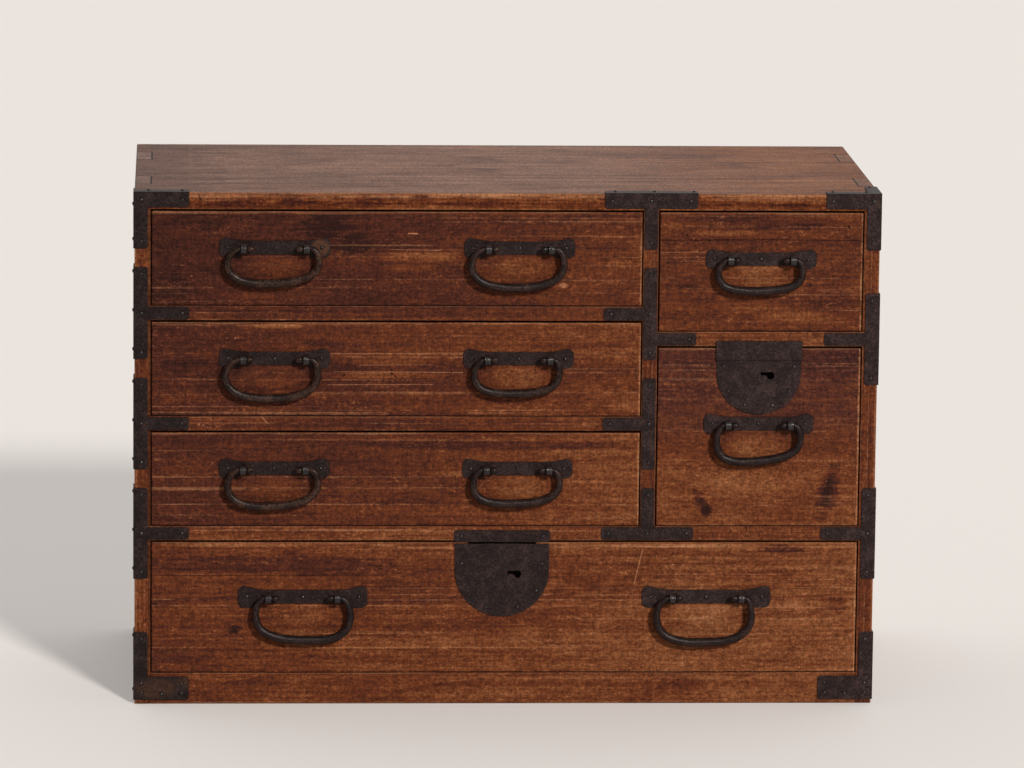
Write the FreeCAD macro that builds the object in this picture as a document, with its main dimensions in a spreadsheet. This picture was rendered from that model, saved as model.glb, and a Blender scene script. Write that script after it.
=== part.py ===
"""A small tansu: a low wooden chest with six drawers and forged iron fittings.

The carcass is a box of boards that are housed in each other. A centre upright parts a stack of
three shallow drawers on the left from a drawer and a deep safe drawer on the right, and one wide
drawer runs below them all. Iron straps are nailed over the corners and crossings. Ten bail
handles hang in eyes. The safe drawer and the wide drawer each hold a lock with a rising bolt.

X runs to the right, Y to the back and Z up. The origin is on the floor, in the middle of the
whole chest with its handles.
"""
import FreeCAD, Part
import math
import operator
import os
from types import SimpleNamespace

import Sketcher
from FreeCAD import Placement, Rotation, Vector

doc = FreeCAD.newDocument("small_tansu_chest")

# Every size that can be set by itself, in millimetres except for the one share.
SIZES = {
    # carcass
    "carcass_width": 606.0,
    "carcass_depth": 297.0,
    "carcass_height": 423.0,
    "side_thickness": 13.0,
    "top_thickness": 13.5,
    "shelf_thickness": 12.0,
    "upright_thickness": 12.5,
    "back_thickness": 8.0,
    "floor_thickness": 10.0,
    "base_rail_height": 26.0,
    "base_rail_depth": 20.0,
    "groove_depth": 4.0,
    "upright_groove_depth": 3.0,
    "back_rebate": 6.0,
    "finger_length": 47.0,
    "finger_spacing": 148.0,
    # bays: the three left ones are equally high
    "right_bay_width": 167.5,
    "bottom_bay_height": 110.5,
    "safe_bay_share": 0.6,  # of the height that the two right bays divide
    # drawers
    "front_thickness": 15.0,
    "wall_thickness": 8.0,
    "drawer_floor_thickness": 5.0,
    "front_rebate": 7.0,
    "side_gap": 0.9,
    "top_gap": 1.5,
    "slide_gap": 0.3,
    "rear_gap": 0.4,
    "wall_drop": 1.0,
    "back_drop": 6.0,
    # iron straps
    "iron_thickness": 1.0,
    "iron_width": 10.7,
    "iron_reach": 37.7,
    "iron_arm_length": 44.2,
    "iron_corner_radius": 2.2,
    "corner_leg_length": 45.5,
    "foot_leg_top": 60.0,
    "foot_arm_height": 19.3,
    "foot_arm_lift": 3.6,
    "top_arm_height": 11.7,
    "shelf_arm_height": 10.2,
    "side_flange_depth": 22.0,
    "top_flange_depth": 11.0,
    "ear_length": 42.0,
    "ear_width": 9.0,
    # nails
    "nail_head_radius": 1.7,
    "nail_head_height": 1.1,
    "nail_radius": 0.8,
    "nail_length": 8.0,
    "back_nail_length": 20.0,
    "nail_inset": 5.6,
    "nail_play": 0.05,
    # handles
    "plate_thickness": 1.2,
    "plate_corner_radius": 5.0,
    "plate_flare_length": 26.0,
    "plate_end_length": 15.0,
    "plate_step_length": 5.0,
    "plate_nail_inset": 7.0,
    "small_plate_width": 90.0,
    "small_plate_end_height": 16.0,
    "small_plate_neck_height": 10.6,
    "large_plate_width": 105.5,
    "large_plate_end_height": 18.0,
    "large_plate_neck_height": 11.0,
    "eye_reach": 8.5,
    "eye_radius": 4.6,
    "eye_width": 4.5,
    "eye_stem_radius": 1.9,
    "eye_play": 0.1,
    "clinch_length": 9.0,
    "clinch_thickness": 1.4,
    "bail_radius": 3.2,
    "bail_pin_radius": 2.2,
    "bail_play": 0.25,
    "bail_knob_radius": 2.8,
    "bail_knob_gap": 0.4,
    "bail_bend_radius": 6.8,
    "bail_side_length": 2.2,
    "bail_corner_radius": 12.0,
    "small_eye_spacing": 51.0,
    "small_bail_width": 70.4,
    "small_bail_drop": 29.0,
    "large_eye_spacing": 56.5,
    "large_bail_width": 76.4,
    "large_bail_drop": 34.2,
    # handle places: the drop is from the top edge of the drawer
    "left_handle_spacing": 198.5,
    "bottom_handle_spacing": 331.0,
    "left_handle_drop": 29.5,
    "upper_right_handle_drop": 38.0,
    "safe_handle_drop": 62.5,
    "bottom_handle_drop": 45.3,
    # locks
    "lock_plate_thickness": 1.0,
    "bottom_lock_offset": -2.6,
    "bottom_lock_width": 77.2,
    "bottom_lock_height": 60.5,
    "bottom_lock_margin": 1.2,
    "bottom_keyhole_offset": 12.6,
    "bottom_keyhole_drop": 26.4,
    "safe_lock_offset": -0.5,
    "safe_lock_width": 69.0,
    "safe_lock_height": 60.7,
    "safe_lock_lap": 5.9,
    "safe_band_height": 15.4,
    "safe_band_overhang": 0.6,
    "safe_keyhole_offset": 9.6,
    "safe_keyhole_drop": 22.5,
    "keyhole_radius": 3.2,
    "keyhole_slot_length": 8.0,
    "keyhole_slot_height": 2.8,
    "lock_nail_inset": 5.5,
    "pocket_width": 56.0,
    "pocket_depth": 9.5,
    "pocket_margin": 9.0,
    "bolt_width": 30.0,
    "bolt_thickness": 5.0,
    "bolt_height": 17.0,
    "bolt_foot_height": 4.0,
    "bolt_foot_reach": 4.0,
    "bolt_setback": 3.0,
    "bolt_sink": 0.5,
    "bolt_travel": 7.5,
    "bolt_play": 0.3,
    "guide_thickness": 1.8,
    "mortise_depth": 7.0,
    "mortise_play": 0.8,
    "strike_length": 78.6,
    "strike_height": 9.6,
    "strike_lap": 1.0,
}

BACK_PLANKS = 3
BACK_NAIL_LEVELS = (0.25, 0.75)  # shares of a plank's height
DOWN_THE_LOCK = (math.radians(-31), math.radians(-67))  # angles of the lower lock nails


# ---------------------------------------------------------------- lengths and sheets


class Length:
    """A length kept both as a formula on the sheets and as the number that it gives."""

    def __init__(self, formula, number):
        self.formula = formula
        self.number = number

    def __add__(self, other):
        return joined(self, other, "+", operator.add)

    def __radd__(self, other):
        return joined(other, self, "+", operator.add)

    def __sub__(self, other):
        return joined(self, other, "-", operator.sub)

    def __rsub__(self, other):
        return joined(other, self, "-", operator.sub)

    def __mul__(self, other):
        return joined(self, other, "*", operator.mul)

    def __rmul__(self, other):
        return joined(other, self, "*", operator.mul)

    def __truediv__(self, other):
        return joined(self, other, "/", operator.truediv)

    def __neg__(self):
        return joined(0, self, "-", operator.sub)


def formula(length):
    return length.formula if isinstance(length, Length) else str(float(length))


def number(length):
    return length.number if isinstance(length, Length) else float(length)


def joined(left, right, sign, work):
    """Two lengths joined by an operator, as formula and as number."""
    return Length(f"({formula(left)} {sign} {formula(right)})", work(number(left), number(right)))


def root(length):
    return Length(f"sqrt({formula(length)})", math.sqrt(number(length)))


class Sheet:
    """A spreadsheet with one named cell to a row."""

    def __init__(self, name):
        self.name = name
        self.rows = 0
        self.cells = doc.addObject("Spreadsheet::Sheet", name)

    def keep(self, word, text, value):
        """Write a cell under a name, and give the length that stands for it."""
        self.rows += 1
        self.cells.set(f"A{self.rows}", word)
        self.cells.set(f"B{self.rows}", text)
        self.cells.setAlias(f"B{self.rows}", word)
        return Length(f"{self.name}.{word}", value)


size_sheet = Sheet("Sizes")
place_sheet = Sheet("Places")
size = SimpleNamespace(**{w: size_sheet.keep(w, str(v), v) for w, v in SIZES.items()})


def place(word, length):
    """Give a worked-out length a cell of its own."""
    return place_sheet.keep(word, f"={formula(length)}", number(length))


# ---------------------------------------------------------------- pieces of geometry

AXES = {"X": Vector(1, 0, 0), "Y": Vector(0, 1, 0), "Z": Vector(0, 0, 1)}
OUT_FRONT = Vector(0, -1, 0)
OUT_BACK = Vector(0, 1, 0)
OUT_TOP = Vector(0, 0, 1)
PAST = 1.0  # how far a cutting shape runs past the face that it cuts

nodes = []


def node(name, item):
    """Name a finished sub-part."""
    item.Label = name
    nodes.append(item)
    return item


def move(item, x, y, z):
    for axis, length in zip("xyz", (x, y, z)):
        item.setExpression(f"Placement.Base.{axis}", formula(length))


def box(name, x, y, z):
    """A block between two limits on each axis."""
    item = doc.addObject("Part::Box", name)
    for side, (low, high) in zip(("Length", "Width", "Height"), (x, y, z)):
        item.setExpression(side, formula(high - low))
    move(item, x[0], y[0], z[0])
    return item


def cylinder(name, radius, length, start, axis):
    """A round bar from its start along an axis."""
    item = doc.addObject("Part::Cylinder", name)
    item.Placement = Placement(Vector(), Rotation(AXES["Z"], AXES[axis]))
    item.setExpression("Radius", formula(radius))
    item.setExpression("Height", formula(length))
    move(item, *start)
    return item


def group(name, items):
    """Separate solids kept together."""
    item = doc.addObject("Part::Compound", name)
    item.Links = items
    return item


def fused(name, items):
    item = doc.addObject("Part::MultiFuse", name)
    item.Shapes = items
    item.Refine = True
    return item


def cut(name, base, tools):
    item = doc.addObject("Part::Cut", name)
    item.Base = base
    item.Tool = tools[0] if len(tools) == 1 else group(f"{name}_tools", tools)
    return item


def middle(limits):
    return (limits[0] + limits[1]) / 2


def mirrored(side, low, high):
    """Limits on the right side, or the same limits mirrored to the left side."""
    return (low, high) if side > 0 else (-high, -low)


def origin_part(body, role):
    return next(item for item in body.Origin.OriginFeatures if item.Role == role)


def sketch_on(body, name, plane):
    sketch = body.newObject("Sketcher::SketchObject", name)
    sketch.AttachmentSupport = (origin_part(body, plane), [""])
    sketch.MapMode = "FlatFace"
    return sketch


def bind(sketch, kind, *target, length):
    """Hold part of a sketch at a length."""
    index = sketch.addConstraint(Sketcher.Constraint(kind, *target, number(length)))
    sketch.renameConstraint(index, f"length_{index}")
    sketch.setExpression(f"Constraints.length_{index}", formula(length))


def bent_edge(start, end, radius, turn):
    """An arc of at most half a circle, bulging to the left of its way for a turn of 1."""
    way = end - start
    half = way.Length / 2
    rise = radius - math.sqrt(max(radius**2 - half**2, 0.0))
    left = Vector(-way.y, way.x, 0).normalize()
    return Part.Arc(start, (start + end) / 2 + left * turn * rise, end)


def outline(sketch, corners, closed=True):
    """Draw corners (x, y, bend); bend is None for a straight edge, or a radius and a turn."""
    points = [Vector(number(x), number(y), 0) for x, y, _ in corners]
    edges = len(corners) if closed else len(corners) - 1
    for index in range(edges):
        start = points[index]
        end = points[(index + 1) % len(points)]
        bend = corners[index][2]
        if bend is None:
            sketch.addGeometry(Part.LineSegment(start, end), False)
            first, last = 1, 2
        else:
            radius, turn = bend
            sketch.addGeometry(bent_edge(start, end, number(radius), turn), False)
            bind(sketch, "Radius", index, length=radius)
            first, last = (2, 1) if turn > 0 else (1, 2)
        x, y, _ = corners[index]
        bind(sketch, "DistanceX", -1, 1, index, first, length=x)
        bind(sketch, "DistanceY", -1, 1, index, first, length=y)
        if index:
            sketch.addConstraint(Sketcher.Constraint("Coincident", index - 1, ending, index, first))
        else:
            opening = first
        ending = last
    if closed:
        sketch.addConstraint(Sketcher.Constraint("Coincident", edges - 1, ending, 0, opening))
    else:
        x, y, _ = corners[-1]
        bind(sketch, "DistanceX", -1, 1, edges - 1, ending, length=x)
        bind(sketch, "DistanceY", -1, 1, edges - 1, ending, length=y)


def pad(body, sketch, thickness):
    """Raise a sketch on the XZ plane towards the front."""
    item = body.newObject("PartDesign::Pad", f"{sketch.Name}_pad")
    item.Profile = sketch
    item.setExpression("Length", formula(thickness))
    return item


def placed(name, master, placements):
    """Copies of one finished shape, each at its own placement."""
    shapes = []
    for placement in placements:
        shape = master.Shape.copy()
        shape.Placement = placement * shape.Placement
        shapes.append(shape)
    item = doc.addObject("Part::Feature", name)
    item.Shape = Part.makeCompound(shapes)
    return item


def copies(name, master, spots):
    """Copies of one finished shape, each turned from +Z to its own way out."""
    return placed(name, master,
                  [Placement(point, Rotation(AXES["Z"], way)) for point, way in spots])


def spot(x, y, z, way):
    """Where a nail's head meets the iron, and its way out."""
    return Vector(number(x), number(y), number(z)), way


# ---------------------------------------------------------------- main places

eye_front = size.eye_reach + size.eye_radius
front = place("front", (eye_front - size.carcass_depth) / 2)
back = place("back", front + size.carcass_depth)
back_inside = place("back_inside", back - size.back_thickness)
outside = place("outside", size.carcass_width / 2)
inside = place("inside", outside - size.side_thickness)
under_top = place("under_top", size.carcass_height - size.top_thickness)
housed = place("housed", inside + size.groove_depth)
rebated = place("rebated", inside + size.back_rebate)
iron_out = place("iron_out", outside + size.iron_thickness)
iron_face = place("iron_face", front - size.iron_thickness)
iron_top = place("iron_top", size.carcass_height + size.iron_thickness)


def level(word, low):
    """The underside and top of a shelf."""
    return place(f"{word}_low", low), place(f"{word}_high", low + size.shelf_thickness)


long_shelf = level("long_shelf", size.base_rail_height + size.bottom_bay_height)
over_long_shelf = place("over_long_shelf", under_top - long_shelf[1])
left_bay_height = place("left_bay_height", (over_long_shelf - 2 * size.shelf_thickness) / 3)
lower_shelf = level("lower_shelf", long_shelf[1] + left_bay_height)
upper_shelf = level("upper_shelf", lower_shelf[1] + left_bay_height)
right_shelf = level("right_shelf", long_shelf[1]
                    + size.safe_bay_share * (over_long_shelf - size.shelf_thickness))

upright_right = place("upright_right", inside - size.right_bay_width)
upright_left = place("upright_left", upright_right - size.upright_thickness)
upright = (upright_left, upright_right)
depth = (front, back_inside)

LEFT_BAY = (-inside, upright_left)
RIGHT_BAY = (upright_right, inside)
WIDE_BAY = (-inside, inside)

# name: bay across, bay up, handle spacing, handle drop, handle kind
DRAWERS = {
    "upper_left": (LEFT_BAY, (upper_shelf[1], under_top), size.left_handle_spacing,
                   size.left_handle_drop, "small"),
    "middle_left": (LEFT_BAY, (lower_shelf[1], upper_shelf[0]), size.left_handle_spacing,
                    size.left_handle_drop, "small"),
    "lower_left": (LEFT_BAY, (long_shelf[1], lower_shelf[0]), size.left_handle_spacing,
                   size.left_handle_drop, "small"),
    "upper_right": (RIGHT_BAY, (right_shelf[1], under_top), None,
                    size.upper_right_handle_drop, "small"),
    "safe": (RIGHT_BAY, (long_shelf[1], right_shelf[0]), None,
             size.safe_handle_drop, "small"),
    "bottom": (WIDE_BAY, (size.base_rail_height, long_shelf[0]), size.bottom_handle_spacing,
               size.bottom_handle_drop, "large"),
}


def drawer_place(name):
    """The space that a drawer fills, and the handles on it."""
    across, up, spacing, drop, kind = DRAWERS[name]
    x = (place(f"{name}_left", across[0] + size.side_gap),
         place(f"{name}_right", across[1] - size.side_gap))
    z = (place(f"{name}_low", up[0] + size.slide_gap),
         place(f"{name}_high", up[1] - size.top_gap))
    centre = middle(x)
    if spacing is None:
        handles = [place(f"{name}_handle", centre)]
    else:
        handles = [place(f"{name}_handle_{end}", centre + shift * spacing / 2)
                   for end, shift in (("left", -1), ("right", 1))]
    return SimpleNamespace(name=name, x=x, z=z, kind=kind, handles=handles,
                           handle_z=place(f"{name}_handle_height", z[1] - drop))


drawers = {name: drawer_place(name) for name in DRAWERS}


def lock_place(name, drawer, offset, top, keyhole_offset, keyhole_drop, shelf):
    """Where a lock's plate, keyhole and bolt sit on a drawer."""
    x = place(f"{name}_lock_x", middle(drawers[drawer].x) + offset)
    top = place(f"{name}_lock_top", top)
    width = getattr(size, f"{name}_lock_width")
    height = getattr(size, f"{name}_lock_height")
    bolt_top = drawers[drawer].z[1] - size.bolt_sink
    return SimpleNamespace(
        name=name, drawer=drawers[drawer], x=x, top=top, width=width, height=height,
        round_z=place(f"{name}_lock_round", top - height + width / 2),
        key_x=place(f"{name}_key_x", x + keyhole_offset),
        key_z=place(f"{name}_key_z", drawers[drawer].z[1] - keyhole_drop),
        bolt_high=place(f"{name}_bolt_high", bolt_top),
        bolt_low=place(f"{name}_bolt_low", bolt_top - size.bolt_height),
        shelf=shelf)


locks = {
    "bottom": lock_place("bottom", "bottom", size.bottom_lock_offset,
                         drawers["bottom"].z[1] - size.bottom_lock_margin,
                         size.bottom_keyhole_offset, size.bottom_keyhole_drop, long_shelf),
    "safe": lock_place("safe", "safe", size.safe_lock_offset,
                       drawers["safe"].z[1] + size.safe_lock_lap,
                       size.safe_keyhole_offset, size.safe_keyhole_drop, right_shelf),
}


# ---------------------------------------------------------------- carcass


def finger(name, side, shift):
    """One finger of a side board, through the top board."""
    centre = (front + back) / 2 + shift * size.finger_spacing / 2
    return box(name, mirrored(side, inside, outside),
               (centre - size.finger_length / 2, centre + size.finger_length / 2),
               (under_top, size.carcass_height))


def side_board(name, side, shelves):
    """A side board with its fingers, its shelf grooves and the rebate for the back."""
    board = box(f"{name}_board", mirrored(side, inside, outside), (front, back), (0, under_top))
    fingers = [finger(f"{name}_finger", side, shift) for shift in (-1, 1)]
    groove = mirrored(side, inside, housed)
    cuts = [box(f"{name}_groove", groove, depth, shelf) for shelf in shelves]
    cuts.append(box(f"{name}_floor_groove", groove, floor_depth, floor_level))
    cuts.append(box(f"{name}_rebate", mirrored(side, inside, rebated), (back_inside, back),
                    (0, under_top)))
    return node(name, cut(f"{name}_cut", fused(f"{name}_blank", [board] + fingers), cuts))


def top_board():
    board = box("top_blank", (-outside, outside), (front, back), (under_top, size.carcass_height))
    cuts = [finger("top_notch", side, shift) for side in (-1, 1) for shift in (-1, 1)]
    cuts.append(box("top_rebate", (-rebated, rebated), (back_inside, back),
                    (under_top, under_top + size.back_rebate)))
    cuts.append(box("top_groove", upright, depth,
                    (under_top, under_top + size.upright_groove_depth)))
    return node("top_board", cut("top_cut", board, cuts))


def mortise(lock):
    """The hole in a shelf's underside that a raised bolt enters."""
    half = size.bolt_width / 2 + size.mortise_play
    return box(f"{lock.name}_mortise", (lock.x - half, lock.x + half),
               (front + size.bolt_setback - size.mortise_play,
                front + size.bolt_setback + size.bolt_thickness + size.mortise_play),
               (lock.shelf[0], lock.shelf[0] + size.mortise_depth))


floor_depth = (front + size.base_rail_depth, back_inside)
floor_level = (size.base_rail_height - size.floor_thickness, size.base_rail_height)

side_board("left_side", -1, (long_shelf, lower_shelf, upper_shelf))
side_board("right_side", 1, (long_shelf, right_shelf))
top_board()

node("bottom_board", box("floor_board", (-housed, housed), floor_depth, floor_level))
node("base_rails", group("base_rail_pair", [
    box("front_rail", WIDE_BAY, (front, front + size.base_rail_depth), (0, size.base_rail_height)),
    box("rear_rail", WIDE_BAY, (back_inside - size.base_rail_depth, back_inside),
        (0, floor_level[0])),
]))

plank_height = place("plank_height", (under_top + size.back_rebate) / BACK_PLANKS)
node("back_boards", group("back_planks", [
    box("back_plank", (-rebated, rebated), (back_inside, back),
        (index * plank_height, (index + 1) * plank_height)) for index in range(BACK_PLANKS)
]))

long_board = box("long_board", (-housed, housed), depth, long_shelf)
long_groove = box("long_groove", upright, depth,
                  (long_shelf[1] - size.upright_groove_depth, long_shelf[1]))
node("long_shelf", cut("long_cut", long_board, [long_groove, mortise(locks["bottom"])]))

left_shelf_span = (-housed, upright_left + size.upright_groove_depth)
right_shelf_span = (upright_right - size.upright_groove_depth, housed)
node("left_shelves", group("left_shelf_pair", [
    box("left_shelf", left_shelf_span, depth, shelf) for shelf in (lower_shelf, upper_shelf)
]))
right_board = box("right_board", right_shelf_span, depth, right_shelf)
node("right_shelf", cut("right_cut", right_board, [mortise(locks["safe"])]))

upright_blank = box("upright_blank", upright, depth,
                    (long_shelf[1] - size.upright_groove_depth,
                     under_top + size.upright_groove_depth))
upright_grooves = [
    box("upright_left_groove", (upright_left, left_shelf_span[1]), depth, shelf)
    for shelf in (lower_shelf, upper_shelf)
]
upright_grooves.append(
    box("upright_right_groove", (right_shelf_span[0], upright_right), depth, right_shelf))
node("centre_upright", cut("upright_cut", upright_blank, upright_grooves))


# ---------------------------------------------------------------- nails


def nail(name, length):
    """A nail with a low domed head above z = 0 and a pointed shank below it."""
    body = doc.addObject("PartDesign::Body", name)
    sketch = sketch_on(body, f"{name}_profile", "XZ_Plane")
    dome = (size.nail_head_radius * size.nail_head_radius
            + size.nail_head_height * size.nail_head_height) / (2 * size.nail_head_height)
    outline(sketch, [
        (0, size.nail_head_height, (dome, 1)),
        (size.nail_head_radius, 0, None),
        (size.nail_radius, 0, None),
        (size.nail_radius, -(length - 2 * size.nail_radius), None),
        (0, -length, None),
    ])
    turned = body.newObject("PartDesign::Revolution", f"{name}_turned")
    turned.Profile = sketch
    turned.ReferenceAxis = (origin_part(body, "Z_Axis"), [""])
    turned.Angle = 360.0
    return body


short_nail = nail("short_nail", size.nail_length)
back_nail = nail("back_nail", size.back_nail_length)
nail_hole = cylinder("nail_hole", size.nail_radius + size.nail_play,
                     size.iron_thickness + size.plate_thickness + PAST,
                     (0, 0, -(size.iron_thickness + size.plate_thickness)), "Z")


def rounder(name, radius):
    """What a sheet's free corner loses when it is rounded; the corner is at the origin."""
    reach = size.iron_thickness + PAST
    block = box(f"{name}_block", (-radius, PAST), (-reach, reach), (-radius, PAST))
    bar = cylinder(f"{name}_bar", radius, 2 * (reach + PAST),
                   (-radius, -(reach + PAST), -radius), "Y")
    return cut(name, block, [bar])


corner_rounder = rounder("corner_rounder", size.iron_corner_radius)
doc.recompute()


# ---------------------------------------------------------------- iron straps

inset = size.nail_inset
edge_x = place("edge_nail_x", outside - inset)
arm_end = place("arm_end", outside - size.iron_arm_length)
arm_nail_x = place("arm_nail_x", arm_end + inset)
top_nail_x = place("top_nail_x", edge_x - inset)
upright_x = place("upright_x", middle(upright))
strap = (upright_x - size.iron_width / 2, upright_x + size.iron_width / 2)
top_arm = (size.carcass_height - size.top_arm_height, iron_top)
corner_leg = (size.carcass_height - size.corner_leg_length, iron_top)
front_sheet = (iron_face, front)
side_sheet = (iron_face, front + size.side_flange_depth)
top_sheet = (size.carcass_height, iron_top)
top_sheet_depth = (iron_face, front + size.top_flange_depth)
side_nail_y = place("side_nail_y", front + size.side_flange_depth - inset)
top_nail_y = place("top_nail_y", front + size.top_flange_depth - inset)


def front_spot(x, z):
    return spot(x, iron_face, z, OUT_FRONT)


def side_spot(side, z):
    return spot(side * iron_out, side_nail_y, z, Vector(side, 0, 0))


def top_spot(x, y):
    return spot(x, y, iron_top, OUT_TOP)


def corner(x, y, z, out, along):
    """A free corner of a sheet, from the two ways out of the sheet there."""
    point = Vector(number(x), number(y), number(z))
    return Placement(point, Rotation(out, along.cross(out), along, "XZY"))


def front_corner(x, z, side, rise):
    return corner(x, iron_face, z, Vector(side, 0, 0), Vector(0, 0, rise))


def side_corner(side, z, rise):
    return corner(side * iron_out, side_sheet[1], z, OUT_BACK, Vector(0, 0, rise))


def top_corner(x, y, side):
    return corner(x, y, iron_top, Vector(side, 0, 0), OUT_BACK)


def arm_tip(x, z, side):
    """The two corners of an arm that ends at x."""
    return [front_corner(x, z[0], side, -1), front_corner(x, z[1], side, 1)]


def top_corner_iron(name, side, ear):
    """A strap round an upper corner: front, side and top, and an ear along the side edge."""
    leg_x = mirrored(side, outside - size.iron_width, iron_out)
    arm_x = mirrored(side, arm_end, iron_out)
    sheets = [
        box(f"{name}_leg", leg_x, front_sheet, corner_leg),
        box(f"{name}_arm", arm_x, front_sheet, top_arm),
        box(f"{name}_side", mirrored(side, outside, iron_out), side_sheet, corner_leg),
        box(f"{name}_top", arm_x, top_sheet_depth, top_sheet),
    ]
    spots = [
        front_spot(side * edge_x, size.carcass_height - inset),
        front_spot(side * arm_nail_x, size.carcass_height - inset),
        front_spot(side * edge_x, corner_leg[0] + inset),
        side_spot(side, corner_leg[0] + inset),
        side_spot(side, size.carcass_height - 2 * inset),
        top_spot(side * arm_nail_x, top_nail_y + inset / 2),
        top_spot(side * top_nail_x, top_nail_y + inset / 2),
    ]
    corners = [
        front_corner(side * arm_end, top_arm[0], -side, -1),
        front_corner(side * (outside - size.iron_width), corner_leg[0], -side, -1),
        side_corner(side, corner_leg[0], -1),
        top_corner(side * arm_end, top_sheet_depth[1], -side),
    ]
    if ear:
        ear_end = front + size.ear_length
        sheets.append(box(f"{name}_ear", mirrored(side, outside - size.ear_width, iron_out),
                          (iron_face, ear_end), top_sheet))
        spots.append(top_spot(side * edge_x, ear_end - inset))
        corners += [top_corner(side * (outside - size.ear_width), ear_end, -side),
                    top_corner(side * iron_out, ear_end, side)]
    else:
        corners.append(side_corner(side, iron_top, 1))
    return fused(name, sheets), spots, corners


def foot_corner_iron(name, side):
    """A strap round a lower corner, a little above the floor."""
    leg_z = (size.foot_arm_lift, size.foot_leg_top)
    arm_z = (size.foot_arm_lift, size.foot_arm_lift + size.foot_arm_height)
    sheets = [
        box(f"{name}_leg", mirrored(side, outside - size.iron_width, iron_out), front_sheet, leg_z),
        box(f"{name}_arm", mirrored(side, arm_end, iron_out), front_sheet, arm_z),
        box(f"{name}_side", mirrored(side, outside, iron_out), side_sheet, leg_z),
    ]
    spots = [front_spot(side * x, z) for x in (edge_x, arm_nail_x)
             for z in (arm_z[0] + inset, arm_z[1] - inset)]
    spots.append(front_spot(side * edge_x, leg_z[1] - inset))
    spots.append(side_spot(side, leg_z[1] - inset))
    spots.append(side_spot(side, leg_z[0] + inset))
    spots.append(front_spot(side * middle((edge_x, arm_nail_x)),
                            middle((arm_z[0], middle(arm_z)))))
    corners = arm_tip(side * arm_end, arm_z, -side)
    corners.append(front_corner(side * (outside - size.iron_width), leg_z[1], -side, 1))
    corners += [side_corner(side, leg_z[0], -1), side_corner(side, leg_z[1], 1)]
    return fused(name, sheets), spots, corners


def edge_iron(name, side, shelf):
    """A strap round the edge of a side board, with an arm along a shelf."""
    height = middle(shelf)
    strap_z = (height - size.iron_reach, height + size.iron_reach)
    arm_z = (height - size.shelf_arm_height / 2, height + size.shelf_arm_height / 2)
    sheets = [
        box(f"{name}_strap", mirrored(side, outside - size.iron_width, iron_out), front_sheet,
            strap_z),
        box(f"{name}_arm", mirrored(side, arm_end, iron_out), front_sheet, arm_z),
        box(f"{name}_side", mirrored(side, outside, iron_out), side_sheet, strap_z),
    ]
    nail_levels = (strap_z[0] + inset, height, strap_z[1] - inset)
    spots = [front_spot(side * edge_x, z) for z in nail_levels]
    spots.append(front_spot(side * arm_nail_x, height))
    spots += [side_spot(side, z) for z in nail_levels]
    corners = arm_tip(side * arm_end, arm_z, -side)
    corners += arm_tip(side * (outside - size.iron_width), strap_z, -side)
    corners += [side_corner(side, strap_z[0], -1), side_corner(side, strap_z[1], 1)]
    return fused(name, sheets), spots, corners


def crossing_iron(name, strap_z, arms):
    """A flat strap on the centre upright, with arms along the shelves that meet it."""
    sheets = [box(f"{name}_strap", strap, front_sheet, strap_z)]
    spots = []
    corners = arm_tip(strap[0], strap_z, -1) + arm_tip(strap[1], strap_z, 1)
    for side, shelf in arms:
        height = middle(shelf)
        arm_x = (upright_x, upright_x + size.iron_reach)
        if side < 0:
            arm_x = (upright_x - size.iron_reach, upright_x)
        arm_z = (height - size.shelf_arm_height / 2, height + size.shelf_arm_height / 2)
        sheets.append(box(f"{name}_arm", arm_x, front_sheet, arm_z))
        spots.append(front_spot(upright_x + side * (size.iron_reach - inset), height))
        corners += arm_tip(upright_x + side * size.iron_reach, arm_z, side)
    levels = [strap_z[0] + inset, strap_z[1] - inset]
    levels.append(middle(arms[0][1]))
    spots += [front_spot(upright_x, z) for z in levels]
    return fused(name, sheets), spots, corners


def head_iron(name):
    """The strap at the head of the centre upright, folded over the top board."""
    arm_x = (upright_x - size.iron_reach, upright_x + size.iron_reach)
    sheets = [
        box(f"{name}_leg", strap, front_sheet, corner_leg),
        box(f"{name}_arm", arm_x, front_sheet, top_arm),
        box(f"{name}_top", arm_x, top_sheet_depth, top_sheet),
    ]
    ends = [upright_x + side * (size.iron_reach - inset) for side in (-1, 1)]
    spots = [front_spot(x, size.carcass_height - inset) for x in ends + [upright_x]]
    spots.append(front_spot(upright_x, corner_leg[0] + inset))
    spots += [top_spot(x + inset / 2, top_nail_y + inset / 2) for x in ends + [upright_x]]
    corners = []
    for side, arm, leg in zip((-1, 1), arm_x, strap):
        corners += [front_corner(arm, top_arm[0], side, -1),
                    front_corner(leg, corner_leg[0], side, -1),
                    top_corner(arm, top_sheet_depth[1], side)]
    return fused(name, sheets), spots, corners


def foot_iron(name):
    """The strap at the foot of the centre upright, on the long shelf."""
    height = middle(long_shelf)
    arm_x = (upright_x - size.iron_reach, upright_x + size.iron_reach)
    arm_z = (height - size.shelf_arm_height / 2, height + size.shelf_arm_height / 2)
    sheets = [
        box(f"{name}_strap", strap, front_sheet, (arm_z[0], height + size.iron_reach)),
        box(f"{name}_arm", arm_x, front_sheet, arm_z),
    ]
    spots = [front_spot(upright_x + side * (size.iron_reach - inset), height) for side in (-1, 0, 1)]
    spots.append(front_spot(upright_x, height + size.iron_reach - inset))
    corners = arm_tip(arm_x[0], arm_z, -1) + arm_tip(arm_x[1], arm_z, 1)
    corners += [front_corner(x, height + size.iron_reach, side, 1)
                for side, x in zip((-1, 1), strap)]
    return fused(name, sheets), spots, corners


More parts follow.
